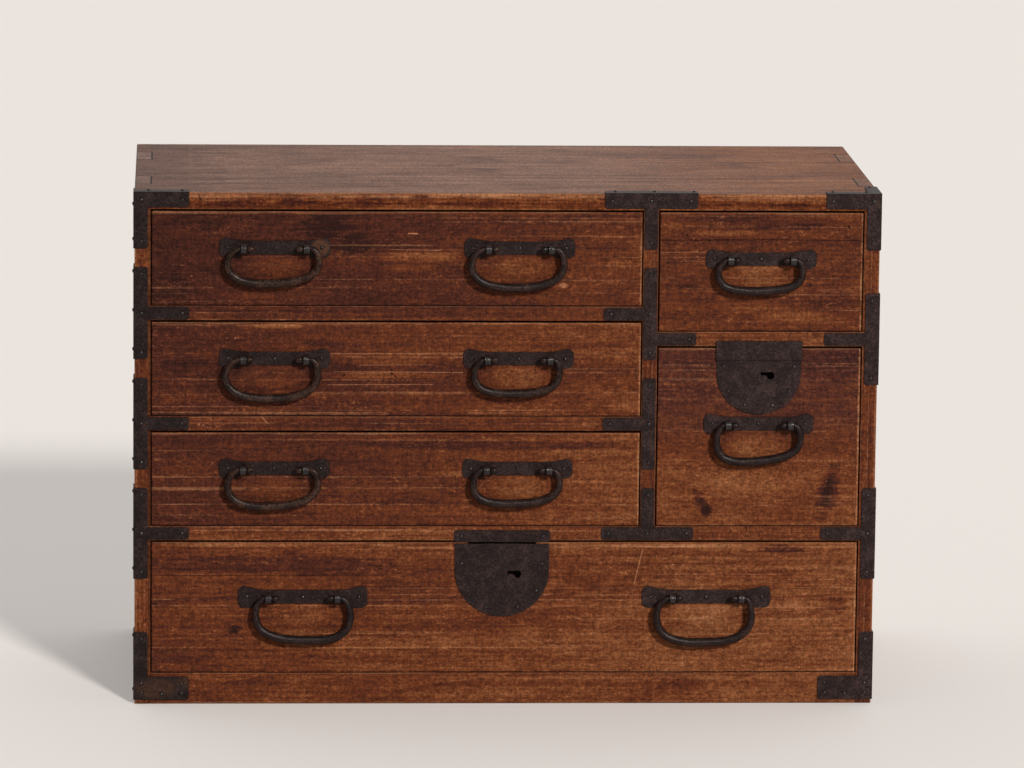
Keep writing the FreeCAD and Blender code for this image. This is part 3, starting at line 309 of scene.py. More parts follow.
def wood(name, order, seed, stain=None, palette=STAINED, faces=(), pith=(10.0, 55.0), tone=0.0,
         stain_and_light_drift=0.0, rise=0.0, sheen=0.07, speckle=1.0, dashes=0.0, streak=1.0, fleck=1.0,
         cloud=1.0, edges=(), grime_and_shade=(), darks=(), lights=(), holes=(), scratches=(), cracks=(),
         seams=None, planks=None, turned=None):
    """Old wood.

    order   the axes along, across and into the board
    stain   gives the share of stain at a place; faces are palettes with such shares of their own
    pith    the middle of the tree, in mm across and behind the board
    tone    how light the wood is; drift and rise change it along and across the board, and the
        drift is partly stain and partly painted light, lighter towards the right
    speckle, dashes, streak, fleck and cloud are the strengths of kinds of figure
    edges   lines where the stain is rubbed away, and grime lines where dirt sits and shade is
        painted: an axis, a place and a reach in mm, and a strength
    darks, lights, holes, scratches and cracks are marks on the front, as told at DRAWERS
    seams   gives a share of dirt at a place; behind a keyhole it is painted shade
    planks  the pitch of boards side by side
    turned  the place behind which the grain runs along the third axis
    """
    s = Shader(name)
    along, across, deep = (getattr(s, axis) for axis in order)
    if turned is not None:
        share = s.step(s.y, turned - 0.0003, turned + 0.0003)
        along, deep = along + (deep - along) * share, deep + (along - deep) * share
    if planks is not None:
        board = s.math("FLOOR", across * (1 / planks))
        along = along + board * PLANK_SHIFT

    n = SimpleNamespace(**{
        layer: s.noise(along * a + (seed + shift), across * b, deep * b, **kind) - 0.5
        for layer, (a, b, shift, kind) in LAYERS.items()})
    middle = pith[0] * MM
    p = across + n.bend * 0.007 - middle
    q = deep + pith[1] * MM + along * PITH_TILT
    ring = s.math("FRACT", s.math("SQRT", p * p + q * q) * RINGS_PER_METRE + n.shade * 1.6) ** 5.0

    # The drift along the board is partly painted light, which makes the wood lighter towards the
    # right.
    value = (0.5 + tone + along * stain_and_light_drift + (across - middle) * rise + n.mottle * (0.5 * cloud)
             + n.broad * (0.4 * cloud) + n.bands * (0.28 * streak) + n.lines * (0.48 * streak)
             + n.fibre * (0.34 * streak) + n.grit * 0.6 + n.rub * 0.35
             - ring * (n.shade + 0.5) * (0.22 * streak))
    if planks is not None:
        value = value + s.math("SINE", board * 4.0 + 1.0) * 0.12
    if dashes:
        value = value - s.step(n.dash, 0.15, 0.28) * dashes
    ragged = n.mottle * 1.1 + n.rub * 0.7 + n.lines * 1.6
    for centre, half, turn, strength in darks:
        value = value - s.patch(s.x, s.z, centre, half, turn, ragged) * strength
    for centre, half, turn, strength in lights:
        value = value + s.patch(s.x, s.z, centre, half, turn, ragged) * strength

    worn = worn_share(s, n, fleck, edges, scratches)
    colour = s.ramp(value, palette)
    for other, share in faces:
        colour = s.blend(share(s, n.mottle), colour, s.ramp(value, other))
    colour = s.blend(worn, colour, s.blend(s.step(n.fibre, -0.14, 0.14), WORN_DEEP, WORN_PALE))
    if stain is not None:
        colour = s.blend(stain(s, n.mottle), s.ramp(value, PLAIN), colour)
    colour = s.scale(colour, (n.grit * 1.8 + n.cross * 1.2 + n.rub * 0.6) * speckle + 1.0)
    # Painted shade: darker in corners, in gaps and beside what stands proud.
    colour = s.scale(colour, s.step(s.openness(WOOD_SHADE_REACH), 0.30, 0.85, 0.30, 1.0))
    height = n.fibre * 0.6 + n.grit * 0.6 + n.lines * 0.3 - ring * 0.25 - worn * 0.5

    cuts_and_shade = [s.patch(s.x, s.z, hole, (radius, radius)) for hole, radius in holes]
    cuts_and_shade += [s.line(s.x, s.z, start, end, half) * depth for start, end, half, depth in cracks]
    if seams is not None:
        cuts_and_shade.append(seams(s, n.mottle))
    if planks is not None:
        off = abs(across - s.math("ROUND", across * (1 / planks)) * planks)
        cuts_and_shade.append(s.step(off, 0.0006, 0.0002) * 0.9)
    # Dirt and painted shade along the given lines, such as the gaps round a drawer front.
    for axis, place, reach, strength in grime_and_shade:
        off = s.near(axis, place, reach)
        cuts_and_shade.append(s.step(off + n.rub * 1.2 + n.patchy * 0.8, 1.0, 0.3) * strength)
    # Holes, cracks, seams and dirt go dark, and so does the painted shade in gaps and keyhole
    # pockets.
    if cuts_and_shade:
        pits_and_shade = s.high(*cuts_and_shade)
        colour = s.blend(pits_and_shade * 0.93, colour, DIRT_AND_SHADE)
        height = height - pits_and_shade * 3.0
    s.feed(s.surface.inputs["Base Color"], colour)
    s.feed(s.surface.inputs["Roughness"],
           s.math("ADD", WOOD_ROUGHNESS + n.fibre * 0.25, worn * 0.18, clamp=True))
    s.surface.inputs["Specular IOR Level"].default_value = sheen
    s.bump(height, WOOD_BUMP)
    return s.material


# Shares at a place, for the wood's stain, faces and seams. Each takes the shader and its mottle.


def at_front(s, mottle):
    return s.step(s.y, FRONT + 0.0012, FRONT + 0.0006)


def at_top(s, mottle):
    return s.step(s.z, TOP - 0.003, TOP - 0.002)


# Where the top turns from its greyer palette, which holds a painted reflection, to its warmer one.
def at_right(s, mottle):
    return s.step(s.x + mottle * 0.25, 0.07, 0.23)


def safe_head(s, mottle):
    return s.step(s.z + mottle * 0.02, 0.215, 0.235)


def bare(s, mottle):
    return 0.0


def near_front(depth):
    """The stain on a board that is finished as far as a depth in mm from its front."""
    def share(s, mottle):
        edge = s.y - (FRONT + depth * MM) + mottle * 0.004
        return s.step(edge, 0.0012, -0.0012)
    return share


def outside_side(s, mottle):
    """The stain on a side board: its outer face, its upper end and its front edge."""
    outer = s.step(abs(s.x), OUTSIDE - 0.0035, OUTSIDE - 0.0020)
    return s.high(outer, at_top(s, mottle), near_front(5.0)(s, mottle))


def outside_top(s, mottle):
    """The stain on the top board: its upper face, its ends and its front edge."""
    upper = s.step(s.z, TOP - 0.006, TOP - 0.004)
    ends = s.step(abs(s.x), OUTSIDE - 0.003, OUTSIDE - 0.002)
    return s.high(upper, ends, near_front(6.0)(s, mottle))


def finger_seams(s, mottle):
    """The lines round the side boards' fingers, on the top."""
    across = abs(abs(s.x) - 0.2965) - 0.0065
    along = abs(abs(s.y - (FRONT + BACK) / 2) - 0.074) - 0.0235
    off = abs(s.high(across, along)) + mottle * 0.0006
    return s.step(off, 0.0011, 0.0003) * s.step(s.z, TOP - 0.002, TOP - 0.001) * 0.8


def keyhole_shade(x, z):
    """Painted shade in the pocket behind a keyhole, which is at x and z in mm."""
    def share(s, mottle):
        spot = s.patch(s.x, s.z, (x, z), (19.0, 19.0))
        return spot * s.step(s.y, FRONT + 0.0115, FRONT + 0.0100)
    return share


# ---------------------------------------------------------------- iron

IRON_DARK = (0.0110, 0.0060, 0.0057)
IRON_GREY = (0.0240, 0.0138, 0.0128)
BROWN_DARK = (0.0150, 0.0064, 0.0042)
BROWN_GREY = (0.0620, 0.0290, 0.0185)
RUST_DEEP = (0.0450, 0.0165, 0.0100)
RUST = (0.1400, 0.0620, 0.0300)
RUBBED_IRON = (0.080, 0.060, 0.054)
RUST_SPECKS = 0.12
IRON_BUMP = 0.00045
# The reach of the irons' painted shade.
IRON_SHADE_REACH = 0.0025
# Painted light: the irons are this light in the middle of the chest, and by 1 a metre lighter
# to the right, as if lit from there. A forged bail is placed by its own origin, so it is equally
# light all over.
IRON_PAINTED_LIGHT = 1.12


def iron(name, seed, rough=0.50, rubbed=0.0, patches=(), brown=0.0, dent=1.0, sheen=0.10,
         shade=1.0):
    """Lacquered forged iron, mottled, pitted and here and there rusty.

    Patches are rusty blots on the front, brown is the share of brown in the grey, dent is the
    strength of the hammer's blows and shade makes it all darker.
    """
    s = Shader(name)
    cloud = s.noise(s.x * 90.0 + seed, s.y * 90.0, s.z * 90.0, detail=4.0, roughness=0.6)
    grit = s.noise(s.x * 620.0 + seed, s.y * 620.0, s.z * 620.0, detail=3.0, roughness=0.65)
    blows = s.noise(s.x * 230.0 - seed, s.y * 230.0, s.z * 230.0, detail=1.0)
    tone = s.step(cloud + (grit - 0.5) * 0.9, 0.38, 0.70)
    dark, grey = (tuple((a + (b - a) * brown) * shade for a, b in zip(*pair))
                  for pair in ((IRON_DARK, BROWN_DARK), (IRON_GREY, BROWN_GREY)))
    colour = s.blend(tone, dark, grey)
    specks = s.step(grit + (cloud - 0.5) * 0.5, 0.62, 0.76) * RUST_SPECKS
    for centre, half, turn, share in patches:
        spot = s.patch(s.x, s.z, centre, half, turn, (cloud - 0.5) * 1.6 + (grit - 0.5) * 0.8)
        specks = s.high(specks, spot * share)
    colour = s.blend(specks, colour, s.blend(grit, RUST_DEEP, RUST))
    if rubbed:
        colour = s.blend(s.step(grit + (blows - 0.5), 0.42, 0.75) * rubbed, colour, RUBBED_IRON)
    # The factor with the place across is painted light, lighter towards the right.
    colour = s.scale(colour, ((grit - 0.5) * 1.7 + 1.0) * (s.x + IRON_PAINTED_LIGHT))
    # Painted shade: darker round the nails, in corners and where the irons meet the wood.
    colour = s.scale(colour, s.step(s.openness(IRON_SHADE_REACH), 0.35, 0.95, 0.22, 1.0))
    s.feed(s.surface.inputs["Base Color"], colour)
    s.feed(s.surface.inputs["Roughness"], rough + (grit - 0.5) * 0.30 + specks * 0.35)
    s.surface.inputs["Specular IOR Level"].default_value = sheen
    s.bump(grit * 0.35 + blows * 0.65 * dent + cloud * 0.3, IRON_BUMP)
    return s.material


# ---------------------------------------------------------------- dressing


def dress(node, material):
    """Give a CAD node its material."""
    item = NODES[node]
    item.data.materials.clear()
    item.data.materials.append(material)


def soften(node, width):
    """Round the sharp edges of a CAD node, by a width in mm."""
    item = NODES[node]
    weld = item.modifiers.new("weld", "WELD")
    weld.merge_threshold = 0.01 * MM
    flat = item.modifiers.new("flat", "DECIMATE")
    flat.decimate_type = "DISSOLVE"
    flat.angle_limit = math.radians(1.0)
    bevel = item.modifiers.new("soften", "BEVEL")
    bevel.width = width * MM
    bevel.segments = 2
    bevel.limit_method = "ANGLE"
    bevel.angle_limit = math.radians(40.0)
    even = item.modifiers.new("even", "WEIGHTED_NORMAL")
    even.mode = "FACE_AREA"
    even.weight = 100


# ---------------------------------------------------------------- carcass boards

LEFT_END_SHADE = ((-300, 423), (75, 8), 0, 0.15)  # painted shade along the left end of the top, where less light falls

dress("left_side", wood("left_side_wood", "zyx", 3.1, outside_side, tone=-0.01,
                        faces=[(TOP_DUST_AND_SHEEN, at_top)],
                        edges=[("x", -303.0, 2.0, 0.4), ("x", -290.0, 1.3, 0.08)],
                        darks=[LEFT_END_SHADE],
                        cracks=[((-291.1, 0.0), (-291.1, 409.0), 0.7, 0.55)],
                        seams=finger_seams))
dress("right_side", wood("right_side_wood", "zyx", 8.7, outside_side, tone=-0.03,
                         faces=[(TOP_WARM, at_top)],
                         edges=[("x", 303.0, 2.0, 0.5), ("x", 290.0, 1.2, 0.15)],
                         seams=finger_seams))
dress("top_board", wood("top_wood", "xyz", 5.3, outside_top, palette=TOP_DUST_AND_SHEEN,
                        faces=[(TOP_WARM, at_right), (STAINED, at_front)], pith=(40.0, 260.0),
                        tone=-0.03, stain_and_light_drift=0.2, streak=1.5, fleck=0.3, cloud=1.3, speckle=1.15,
                        dashes=0.5, sheen=0.03,
                        edges=[("z", 423.0, 6.0, 0.75), ("z", 409.5, 1.0, 0.2)],
                        darks=[LEFT_END_SHADE, ((-222, 415), (22, 3.6), 0, 0.22),
                               ((-173, 415.5), (14, 3.2), 0, 0.26),
                               ((-120, 414.5), (20, 3), 0, 0.18),
                               ((-20, 414), (34, 3), 0, 0.18), ((230, 414), (16, 3), 0, 0.2)],
                        lights=[((-257, 419), (5, 4), 0, 0.3),
                                ((-150, 412.5), (190, 4.5), 0, 0.10),
                                ((-192, 418), (9, 3), 0, 0.2), ((-240, 417), (12, 3), 0, 0.15)],
                        cracks=[((-251.5, 421.5), (-249.5, 417.0), 0.5, 0.8)],
                        seams=finger_seams))
dress("bottom_board", wood("bottom_wood", "xyz", 2.4, bare, **PLAIN_LOOKS))
dress("base_rails", wood("rail_wood", "xzy", 6.2, near_front(6.0), tone=0.06, stain_and_light_drift=0.36,
                         fleck=0.4, edges=[("z", 0.0, 2.2, 0.6), ("z", 26.0, 1.0, 0.25)]))
dress("back_boards", wood("back_wood", "xzy", 9.4, bare, **PLAIN_LOOKS, tone=-0.12,
                          pith=(150.0, -190.0), planks=PLANK))
dress("long_shelf", wood("long_shelf_wood", "xzy", 4.6, near_front(5.0), tone=0.03,
                         cracks=[((197.5, 148.4), (197.9, 144.6), 0.5, 0.8)],
                         edges=[("z", 136.5, 1.0, 0.4), ("z", 148.5, 0.8, 0.2)]))
dress("left_shelves", wood("left_shelf_wood", "xzy", 1.9, near_front(5.0), tone=-0.07,
                           stain_and_light_drift=0.35, lights=[((68, 233), (9, 4), 0, 0.14)],
                           scratches=[((-199.4, 239.6), (-196.6, 235.4), 0.4, 0.7),
                                      ((-196.6, 235.4), (-192.8, 233.1), 0.4, 0.7),
                                      ((-258, 238.7), (-197, 238.9), 0.35, 0.6)],
                           edges=[("z", 239.5, 0.9, 0.3), ("z", 330.5, 0.9, 0.25)]))
dress("right_shelf", wood("right_shelf_wood", "xzy", 7.7, near_front(5.0), tone=0.1,
                          edges=[("z", 297.9, 1.4, 0.7), ("z", 309.9, 1.2, 0.5)]))
dress("centre_upright", wood("upright_wood", "zxy", 2.9, near_front(5.0), tone=-0.02,
                             edges=[("x", 110.0, 1.1, 0.15), ("x", 122.5, 1.1, 0.12)]))
for board in ("left_side", "right_side", "top_board", "bottom_board", "base_rails", "back_boards",
              "long_shelf", "left_shelves", "right_shelf", "centre_upright"):
    soften(board, 0.6)


# ---------------------------------------------------------------- drawers

# Handles are places across. Marks are on the front, in mm across and up: darks and lights are
# blots with their half sizes, a turn in degrees and a strength; holes are worm holes with their
# radius; scratches are light and cracks dark, each with two ends, half a width and a strength.
# A drawer's drift is partly painted light, which makes its front lighter towards the right.
DRAWERS = {
    "upper_left": dict(
        seed=11.3, tone=-0.125, stain_and_light_drift=0.68, streak=0.62, fleck=0.6, pith=(360.0, 75.0),
        handles=(-189.25, 9.25),
        darks=[((-150, 397), (24, 10), 0, 0.26), ((-250, 400), (42, 7), 0, 0.10),
               ((-126, 381), (16, 9), 0, 0.18), ((-262, 344), (16, 9), 0, 0.08),
               ((60, 394), (95, 15), 0, 0.05)],
        lights=[((-184, 340), (46, 15), 0, 0.08), ((-215, 336), (60, 5), 0, 0.07),
                ((-70, 371), (44, 5), 0, 0.28), ((-77, 362), (26, 3), 0, 0.20),
                ((45, 348), (4, 2.5), 0, 0.45)],
        holes=[((-86.5, 353.5), 0.7)],
        scratches=[((-81, 390.4), (-74, 390.2), 0.7, 1.0), ((-95, 377), (-55, 376.4), 0.3, 0.6)]),
    "middle_left": dict(
        seed=23.8, tone=-0.035, stain_and_light_drift=0.82, streak=0.8, fleck=0.85, cloud=0.8,
        pith=(270.0, 60.0),
        handles=(-189.25, 9.25),
        darks=[((-262, 285), (18, 12), 0, 0.14), ((-150, 300), (18, 4), 0, 0.14)],
        lights=[((-98, 273), (40, 3.2), 0, 0.26), ((-186, 314), (26, 2.2), 0, 0.40),
                ((-98, 285), (34, 2), 0, 0.16), ((96, 250), (12, 7), 0, 0.10)],
        holes=[((-132.8, 273.7), 0.9), ((-94.2, 277.5), 0.9), ((-84.8, 271.3), 0.7),
               ((-94.0, 275.0), 1.0), ((-90.8, 272.6), 0.8), ((-45.4, 276.4), 0.8),
               ((22.9, 278.2), 0.7), ((67.5, 278.5), 0.8), ((90.6, 278.1), 0.8),
               ((92.4, 283.2), 0.7)],
        scratches=[((-141, 276.4), (-36, 276.0), 0.35, 0.6), ((-146, 265.6), (-60, 266), 0.3, 0.6),
                   ((-140, 291), (-34, 292.4), 0.3, 0.45), ((-120, 282), (-60, 282.4), 0.3, 0.4),
                   ((47, 279.0), (108, 279.2), 0.35, 0.35)]),
    "lower_left": dict(
        seed=31.1, tone=-0.015, stain_and_light_drift=0.84, streak=0.7, fleck=0.75, cloud=0.8,
        pith=(190.0, 90.0),
        handles=(-189.25, 9.25),
        darks=[((-9, 215), (118, 3.5), 0, 0.20)],
        lights=[((-35, 192), (30, 2.2), 0, 0.20)],
        scratches=[((-34, 170.3), (-28, 170.1), 0.6, 0.9)]),
    "upper_right": dict(
        seed=47.9, tone=-0.07, rise=0.1, streak=0.72, fleck=0.9, pith=(360.0, 60.0),
        handles=(206.25,),
        darks=[((228, 397), (30, 4.5), 0, 0.20), ((262, 342), (30, 18), 0, 0.05),
               ((150, 330), (26, 16), 0, 0.05), ((180, 403), (50, 2.4), 0, 0.10)],
        lights=[((205, 366), (60, 6), 0, 0.22), ((240, 322), (34, 5), 0, 0.16),
                ((178, 391), (34, 3), 0, 0.24)],
        holes=[((145.3, 389.6), 0.9), ((163.7, 385.1), 0.9), ((146.8, 347.2), 0.8),
               ((246.4, 348.3), 0.8), ((277.4, 396.5), 0.9)],
        cracks=[((123.0, 385.2), (208, 385.8), 0.35, 0.7),
                ((208, 385.8), (287, 385.2), 0.3, 0.5)]),
    "safe": dict(
        seed=53.2, tone=0.01, stain_and_light_drift=-0.2, rise=-2.3, streak=0.5, fleck=0.6, pith=(215.0, 40.0),
        handles=(206.25,), faces=[(DUSKY, safe_head)], seams=keyhole_shade(215.35, 274.0),
        darks=[((262, 274), (26, 22), 0, 0.08), ((164.4, 161), (5.5, 4.6), 0, 0.60),
               ((160.0, 169), (11, 4.2), -60, 0.34), ((264.5, 178), (24, 8.5), 75, 0.30),
               ((264.5, 178), (17, 4), 75, 0.26)],
        lights=[((205, 186), (60, 12), 0, 0.12), ((205, 214), (22, 10), 0, 0.08),
                ((262, 212), (30, 32), 0, 0.09)]),
    "bottom": dict(
        seed=67.5, tone=0.045, stain_and_light_drift=0.52, pith=(60.0, 70.0),
        handles=(-165.5, 165.5), seams=keyhole_shade(10.0, 108.6),
        darks=[((-220.8, 62.6), (7, 4.0), 10, 0.50), ((226, 129.5), (20, 3.6), 0, 0.34),
               ((274, 83.3), (9, 6), 0, 0.18), ((-190, 118), (110, 12), 0, 0.15),
               ((-250, 45), (38, 16), 0, 0.05)],
        lights=[((-216, 132.4), (74, 1.8), 0, 0.30), ((-100, 132.6), (14, 1.8), 0, 0.30),
                ((123, 132.4), (86, 1.8), 0, 0.30)],
        scratches=[((113.1, 129.7), (106.1, 100.6), 0.5, 0.7),
                   ((106.1, 100.6), (103.2, 75.8), 0.4, 0.35)],
        cracks=[((-287, 107.5), (-100, 107.0), 0.25, 0.45), ((-287, 44.0), (-60, 45.5), 0.2, 0.35),
                ((60, 97.5), (287, 96.0), 0.2, 0.35)]),
}

for name, looks in DRAWERS.items():
    low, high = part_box(f"{name}_drawer_front")
    x0, x1, z0, z1 = (value / MM for value in (low.x, high.x, low.z, high.z))
    edges = [("z", z1, 2.0, 0.38), ("x", x1 - 0.7, 1.15, 0.7)]
    # Dirt and painted shade along the bottom and the ends of each front, beside its gaps.
    grime_and_shade = [("z", z0, 0.9, 0.75), ("x", x0, 0.7, 0.55), ("x", x1, 0.5, 0.45)]
    plate_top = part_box(f"{name}_drawer_handle_plates")[1].z / MM
    looks["lights"] = looks.get("lights", []) + [  # hands have rubbed the wood inside the bails
        ((x, plate_top - 24), (24, 10), 0, 0.15) for x in looks.pop("handles")]
    seed = looks["seed"]
    dress(f"{name}_drawer_front",
          wood(f"{name}_front_wood", "xzy", stain=near_front(5.0), edges=edges, grime_and_shade=grime_and_shade,
               **looks))
    soften(f"{name}_drawer_front", 0.45)
    wall_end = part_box(f"{name}_drawer_walls")[1].y
    dress(f"{name}_drawer_walls",
          wood(f"{name}_inner_wood", "yzx", seed + 3.0, bare, **PLAIN_LOOKS,
               pith=((z0 + z1) / 2 + 60.0, 90.0), turned=wall_end - 0.0085))
    soften(f"{name}_drawer_walls", 0.5)
    dress(f"{name}_drawer_floor",
          wood(f"{name}_floor_wood", "xyz", seed + 5.0, bare, **PLAIN_LOOKS,
               pith=(60.0, 120.0)))


# ---------------------------------------------------------------- irons

strap_iron = iron("strap_iron_forged", 1.7, patches=[
    ((-286, 13), (20, 9), 0, 0.36), ((-262, 18), (9, 5), 0, 0.3)])
plate_iron = iron("plate_iron_forged", 4.1, patches=[((-152, 379.0), (8, 7), 0, 0.75)])
lock_iron = iron("lock_iron_forged", 9.3, rough=0.55)
nail_iron = iron("nail_iron_forged", 6.6, rough=0.30, rubbed=0.08, sheen=0.40, shade=0.6)
for node in ("corner_irons", "edge_irons", "centre_irons", "bottom_lock_strike"):
    dress(node, strap_iron)
    soften(node, 0.35)
dress("carcass_nails", nail_iron)
for name in DRAWERS:
    dress(f"{name}_drawer_handle_plates", plate_iron)
    soften(f"{name}_drawer_handle_plates", 0.4)
    dress(f"{name}_drawer_fixings", nail_iron)
for name in ("bottom", "safe"):
    dress(f"{name}_lock_plate", lock_iron)
    soften(f"{name}_lock_plate", 0.3)
    dress(f"{name}_lock_bolt", lock_iron)


# ---------------------------------------------------------------- bails

# Right half of a small bail: across, up and thickness, in mm from the middle of its eyes.
SMALL_HALF = [
    (16.9, 0.0, 0.2), (17.2, 0.0, 1.5), (18.4, 0.0, 2.5), (20.2, 0.0, 2.75), (21.9, 0.0, 2.4),
    (23.0, 0.0, 2.1), (25.5, 0.0, 2.05), (28.4, 0.1, 2.15), (31.2, -0.9, 2.4), (33.8, -3.4, 2.6),
    (35.5, -7.8, 2.8), (35.9, -13.0, 2.95), (34.0, -19.0, 3.15), (28.6, -24.2, 3.4),
    (19.5, -27.4, 3.6), (9.0, -28.8, 3.7), (0.0, -29.0, 3.75),
]
SMALL_DROP = 29.0
SMALL_EYE = 25.5  # from the middle of a bail to its eye
LARGE_EYE = 28.25
KNOB = 3.2  # from the line of the eyes to the top of a bail's box
BAR_SIDES = 14
BAR_STEPS = 5
BLOW = 0.055  # the hammer's share of the thickness
BLOWS_ALONG, BLOWS_ROUND = 0.16, 0.9  # how close the blows are, along the bar and round it
BLOW_SEED = 3.7
SKEW_DEPTH = 9.0  # how far under the eyes a bail is wholly askew

# For each body: the drop, lean, width and skew of its bail, and how brown its iron is.
BAILS = {
    "upper_left_drawer_bail_left": (28.2, 0.045, 1.10, -1.5, 1.0),
    "upper_left_drawer_bail_right": (31.4, 0.02, 1.15, -1.7, 0.35),
    "middle_left_drawer_bail_left": (31.8, 0.02, 1.14, -2.6, 0.8),
    "middle_left_drawer_bail_right": (27.6, 0.03, 0.87, -1.7, 0.5),
    "lower_left_drawer_bail_left": (29.9, 0.05, 1.07, -1.3, 0.9),
    "lower_left_drawer_bail_right": (27.7, 0.04, 0.93, -1.2, 0.3),
    "upper_right_drawer_bail": (25.2, 0.03, 0.84, -1.2, 0.2),
    "safe_drawer_bail": (29.6, 0.10, 0.84, -0.4, 0.1),
    "bottom_drawer_bail_left": (34.6, -0.03, 1.01, 0.2, 0.1),
    "bottom_drawer_bail_right": (36.6, 0.02, 1.03, -2.0, 0.2),
}


def smooth(points, steps):
    """Points along a smooth line through the given points."""
    ends = [points[0]] + points + [points[-1]]
    found = []
    for a, b, c, d in zip(ends, ends[1:], ends[2:], ends[3:]):
        for index in range(steps):
            t = index / steps
            found.append(tuple(
                0.5 * (2 * q + (r - p) * t + (2 * p - 5 * q + 4 * r - s) * t ** 2
                       + (3 * q - p - 3 * r + s) * t ** 3)
                for p, q, r, s in zip(a, b, c, d)))
    found.append(points[-1])
    return found


def bail_points(eye, drop, lean, width, skew):
    """A whole bail, as across, up and thickness. It leans to one side and is knocked askew."""
    half = []
    for x, z, r in SMALL_HALF:
        out = eye + (x - SMALL_EYE) * width if x > SMALL_EYE else x + eye - SMALL_EYE
        half.append((out, z * drop / SMALL_DROP, r))
    whole = [(-x, z, r) for x, z, r in half] + half[-2::-1]
    return [(x + skew * min(1.0, -z / SKEW_DEPTH), z + lean * x * (-z / drop), r)
            for x, z, r in whole]


def bar(name, points, seed):
    """A hammered round bar along points in the plane of the handle."""
    mesh = bpy.data.meshes.new(name)
    line = smooth(points, BAR_STEPS)
    vertices = []
    for index, (x, z, r) in enumerate(line):
        before, after = line[max(index - 1, 0)], line[min(index + 1, len(line) - 1)]
        way = Vector((after[0] - before[0], 0, after[1] - before[1])).normalized()
        out = Vector((-way.z, 0, way.x))
        for side in range(BAR_SIDES):
            turn = 2 * math.pi * side / BAR_SIDES
            near = out * math.cos(turn) + Vector((0, 1, 0)) * math.sin(turn)
            blow = noise.noise(Vector((x, z, seed)) * BLOWS_ALONG + near * BLOWS_ROUND)
            vertices.append((Vector((x, 0, z)) + near * r * (1 + BLOW * blow)) * MM)
    faces = []
    for index in range(len(line) - 1):
        for side in range(BAR_SIDES):
            a = index * BAR_SIDES + side
            b = index * BAR_SIDES + (side + 1) % BAR_SIDES
            faces.append((a, b, b + BAR_SIDES, a + BAR_SIDES))
    faces.append(tuple(range(BAR_SIDES))[::-1])
    faces.append(tuple(len(vertices) - BAR_SIDES + side for side in range(BAR_SIDES)))
    mesh.from_pydata([tuple(vertex) for vertex in vertices], [], faces)
    mesh.update()
    for face in mesh.polygons:
        face.use_smooth = True
    item = bpy.data.objects.new(name, mesh)
    bpy.context.scene.collection.objects.link(item)
    return item


for index, (body, (drop, lean, width, skew, brown)) in enumerate(BAILS.items()):
    low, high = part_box(body)
    eye = LARGE_EYE if body.startswith("bottom") else SMALL_EYE
    item = bar(f"{body}_forged", bail_points(eye, drop, lean, width, skew),
               BLOW_SEED * index)
    item.location = ((low.x + high.x) / 2, AXIS_Y, high.z - KNOB * MM)
    item.data.materials.append(iron(f"{body}_iron", 2.0 + index, rough=0.36, brown=brown,
                                    dent=0.25, sheen=0.14, shade=0.68))
    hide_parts(body)
    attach(item, body)


# ---------------------------------------------------------------- floor, light and camera

FLOOR_REACH = 14.0
FLOOR_COLOUR = (0.70, 0.660, 0.625, 1.0)
FLOOR_GLOW = (0.98, 0.96, 0.95, 1.0)
FLOOR_GLOW_STRENGTH = 0.17
FLOOR_ROUGHNESS, FLOOR_SHEEN = 0.85, 0.2
WORLD_COLOUR = (1.0, 0.985, 0.97, 1.0)
WORLD_RISE = (("From Min", -0.5), ("From Max", 0.7), ("To Min", 0.23), ("To Max", 0.90))
SUN_FROM = (0.72, -1.80, 0.92)
SUN_STRENGTH = 3.02
SUN_SPREAD = 7.0  # in degrees
SUN_COLOUR = (1.0, 0.965, 0.93)
CAMERA_PLACE = (-0.267151, -5.149500, 1.130505)
CAMERA_TURNS = (0.0541246, 0.1706173, 0.0106410)  # yaw, pitch down and roll, in radians
LENS, SENSOR = 219.52, 36.0  # in mm


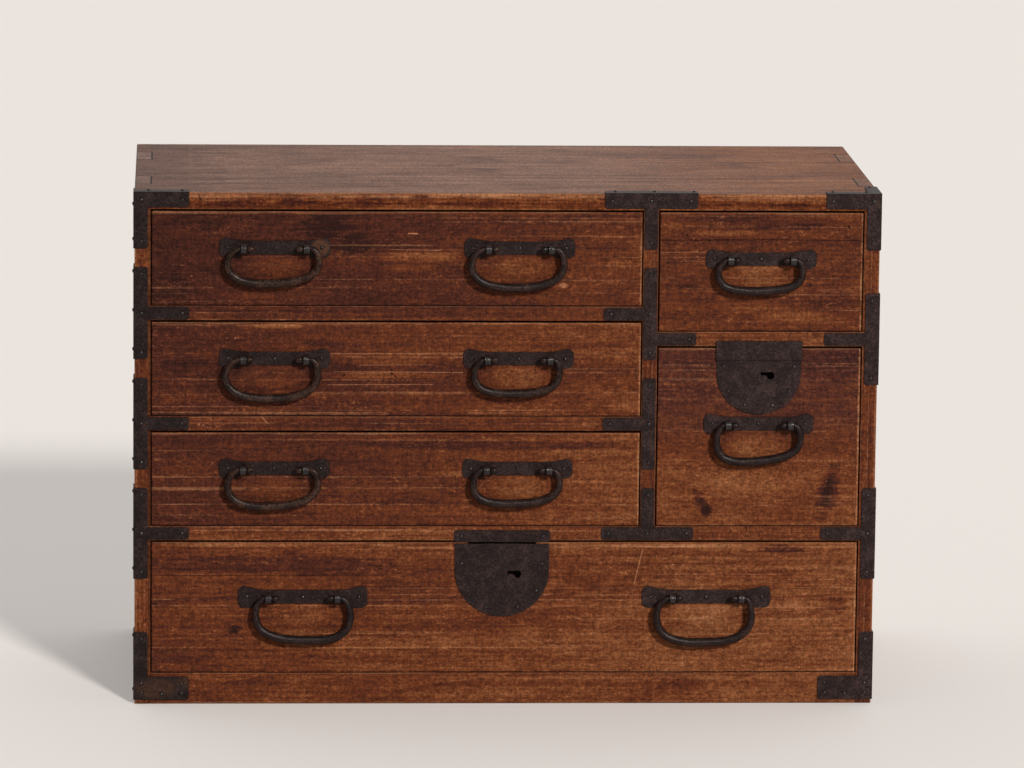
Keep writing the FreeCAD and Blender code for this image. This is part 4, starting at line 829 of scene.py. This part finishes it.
def stage_floor():
    """A pale floor, a little brighter to the camera than the light on it makes it."""
    mesh = bpy.data.meshes.new("floor")
    reach = FLOOR_REACH
    mesh.from_pydata([(-reach, -reach, 0), (reach, -reach, 0), (reach, reach, 0),
                      (-reach, reach, 0)], [], [(0, 1, 2, 3)])
    item = bpy.data.objects.new("floor", mesh)
    bpy.context.scene.collection.objects.link(item)
    s = Shader("floor_paint")
    s.surface.inputs["Base Color"].default_value = FLOOR_COLOUR
    s.surface.inputs["Roughness"].default_value = FLOOR_ROUGHNESS
    s.surface.inputs["Specular IOR Level"].default_value = FLOOR_SHEEN
    rays = s.tree.nodes.new("ShaderNodeLightPath")
    seen = s.high(*(Reading(s, rays.outputs[word])
                    for word in ("Is Camera Ray", "Is Glossy Ray", "Is Transmission Ray")))
    s.surface.inputs["Emission Color"].default_value = FLOOR_GLOW
    s.feed(s.surface.inputs["Emission Strength"], seen * FLOOR_GLOW_STRENGTH)
    mesh.materials.append(s.material)
    item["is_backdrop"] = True


def stage_world():
    """Pale light from all round, dimmer from the front than from behind."""
    world = bpy.data.worlds.new("studio")
    world.use_nodes = True
    tree = world.node_tree
    tree.nodes.clear()
    output = tree.nodes.new("ShaderNodeOutputWorld")
    glow = tree.nodes.new("ShaderNodeBackground")
    way = tree.nodes.new("ShaderNodeTexCoord")
    parts = tree.nodes.new("ShaderNodeSeparateXYZ")
    tree.links.new(way.outputs["Generated"], parts.inputs[0])
    rise = tree.nodes.new("ShaderNodeMapRange")
    rise.interpolation_type = "SMOOTHSTEP"
    for word, value in WORLD_RISE:
        rise.inputs[word].default_value = value
    tree.links.new(parts.outputs[1], rise.inputs["Value"])
    tree.links.new(rise.outputs[0], glow.inputs["Strength"])
    glow.inputs["Color"].default_value = WORLD_COLOUR
    tree.links.new(glow.outputs[0], output.inputs[0])
    bpy.context.scene.world = world


def stage_sun():
    """Even light from the front and right, softened by its spread."""
    light = bpy.data.lights.new("key", "SUN")
    light.energy = SUN_STRENGTH
    light.angle = math.radians(SUN_SPREAD)
    light.color = SUN_COLOUR
    item = bpy.data.objects.new("key", light)
    item.location = SUN_FROM
    item.rotation_mode = "QUATERNION"
    item.rotation_quaternion = (-Vector(SUN_FROM)).to_track_quat("-Z", "Y")
    bpy.context.scene.collection.objects.link(item)


def stage_camera():
    """The photograph's camera, as it was fitted to the chest's corners and edges."""
    yaw, pitch, roll = CAMERA_TURNS
    ahead = Vector((math.sin(yaw) * math.cos(pitch), math.cos(yaw) * math.cos(pitch),
                    -math.sin(pitch)))
    right = Vector((math.cos(yaw), -math.sin(yaw), 0))
    up = right.cross(ahead)
    right, up = (right * math.cos(roll) + up * math.sin(roll),
                 up * math.cos(roll) - right * math.sin(roll))
    data = bpy.data.cameras.new("camera")
    data.sensor_fit = "HORIZONTAL"
    data.sensor_width = SENSOR
    data.lens = LENS
    data.clip_start, data.clip_end = 0.1, 100.0
    item = bpy.data.objects.new("camera", data)
    bpy.context.scene.collection.objects.link(item)
    rows = [(*axes, place) for *axes, place in zip(right, up, -ahead, CAMERA_PLACE)]
    item.matrix_world = Matrix((*rows, (0, 0, 0, 1)))
    bpy.context.scene.camera = item


stage_floor()
stage_world()
stage_sun()
stage_camera()
bpy.context.scene.view_settings.view_transform = "Standard"

low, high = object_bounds()
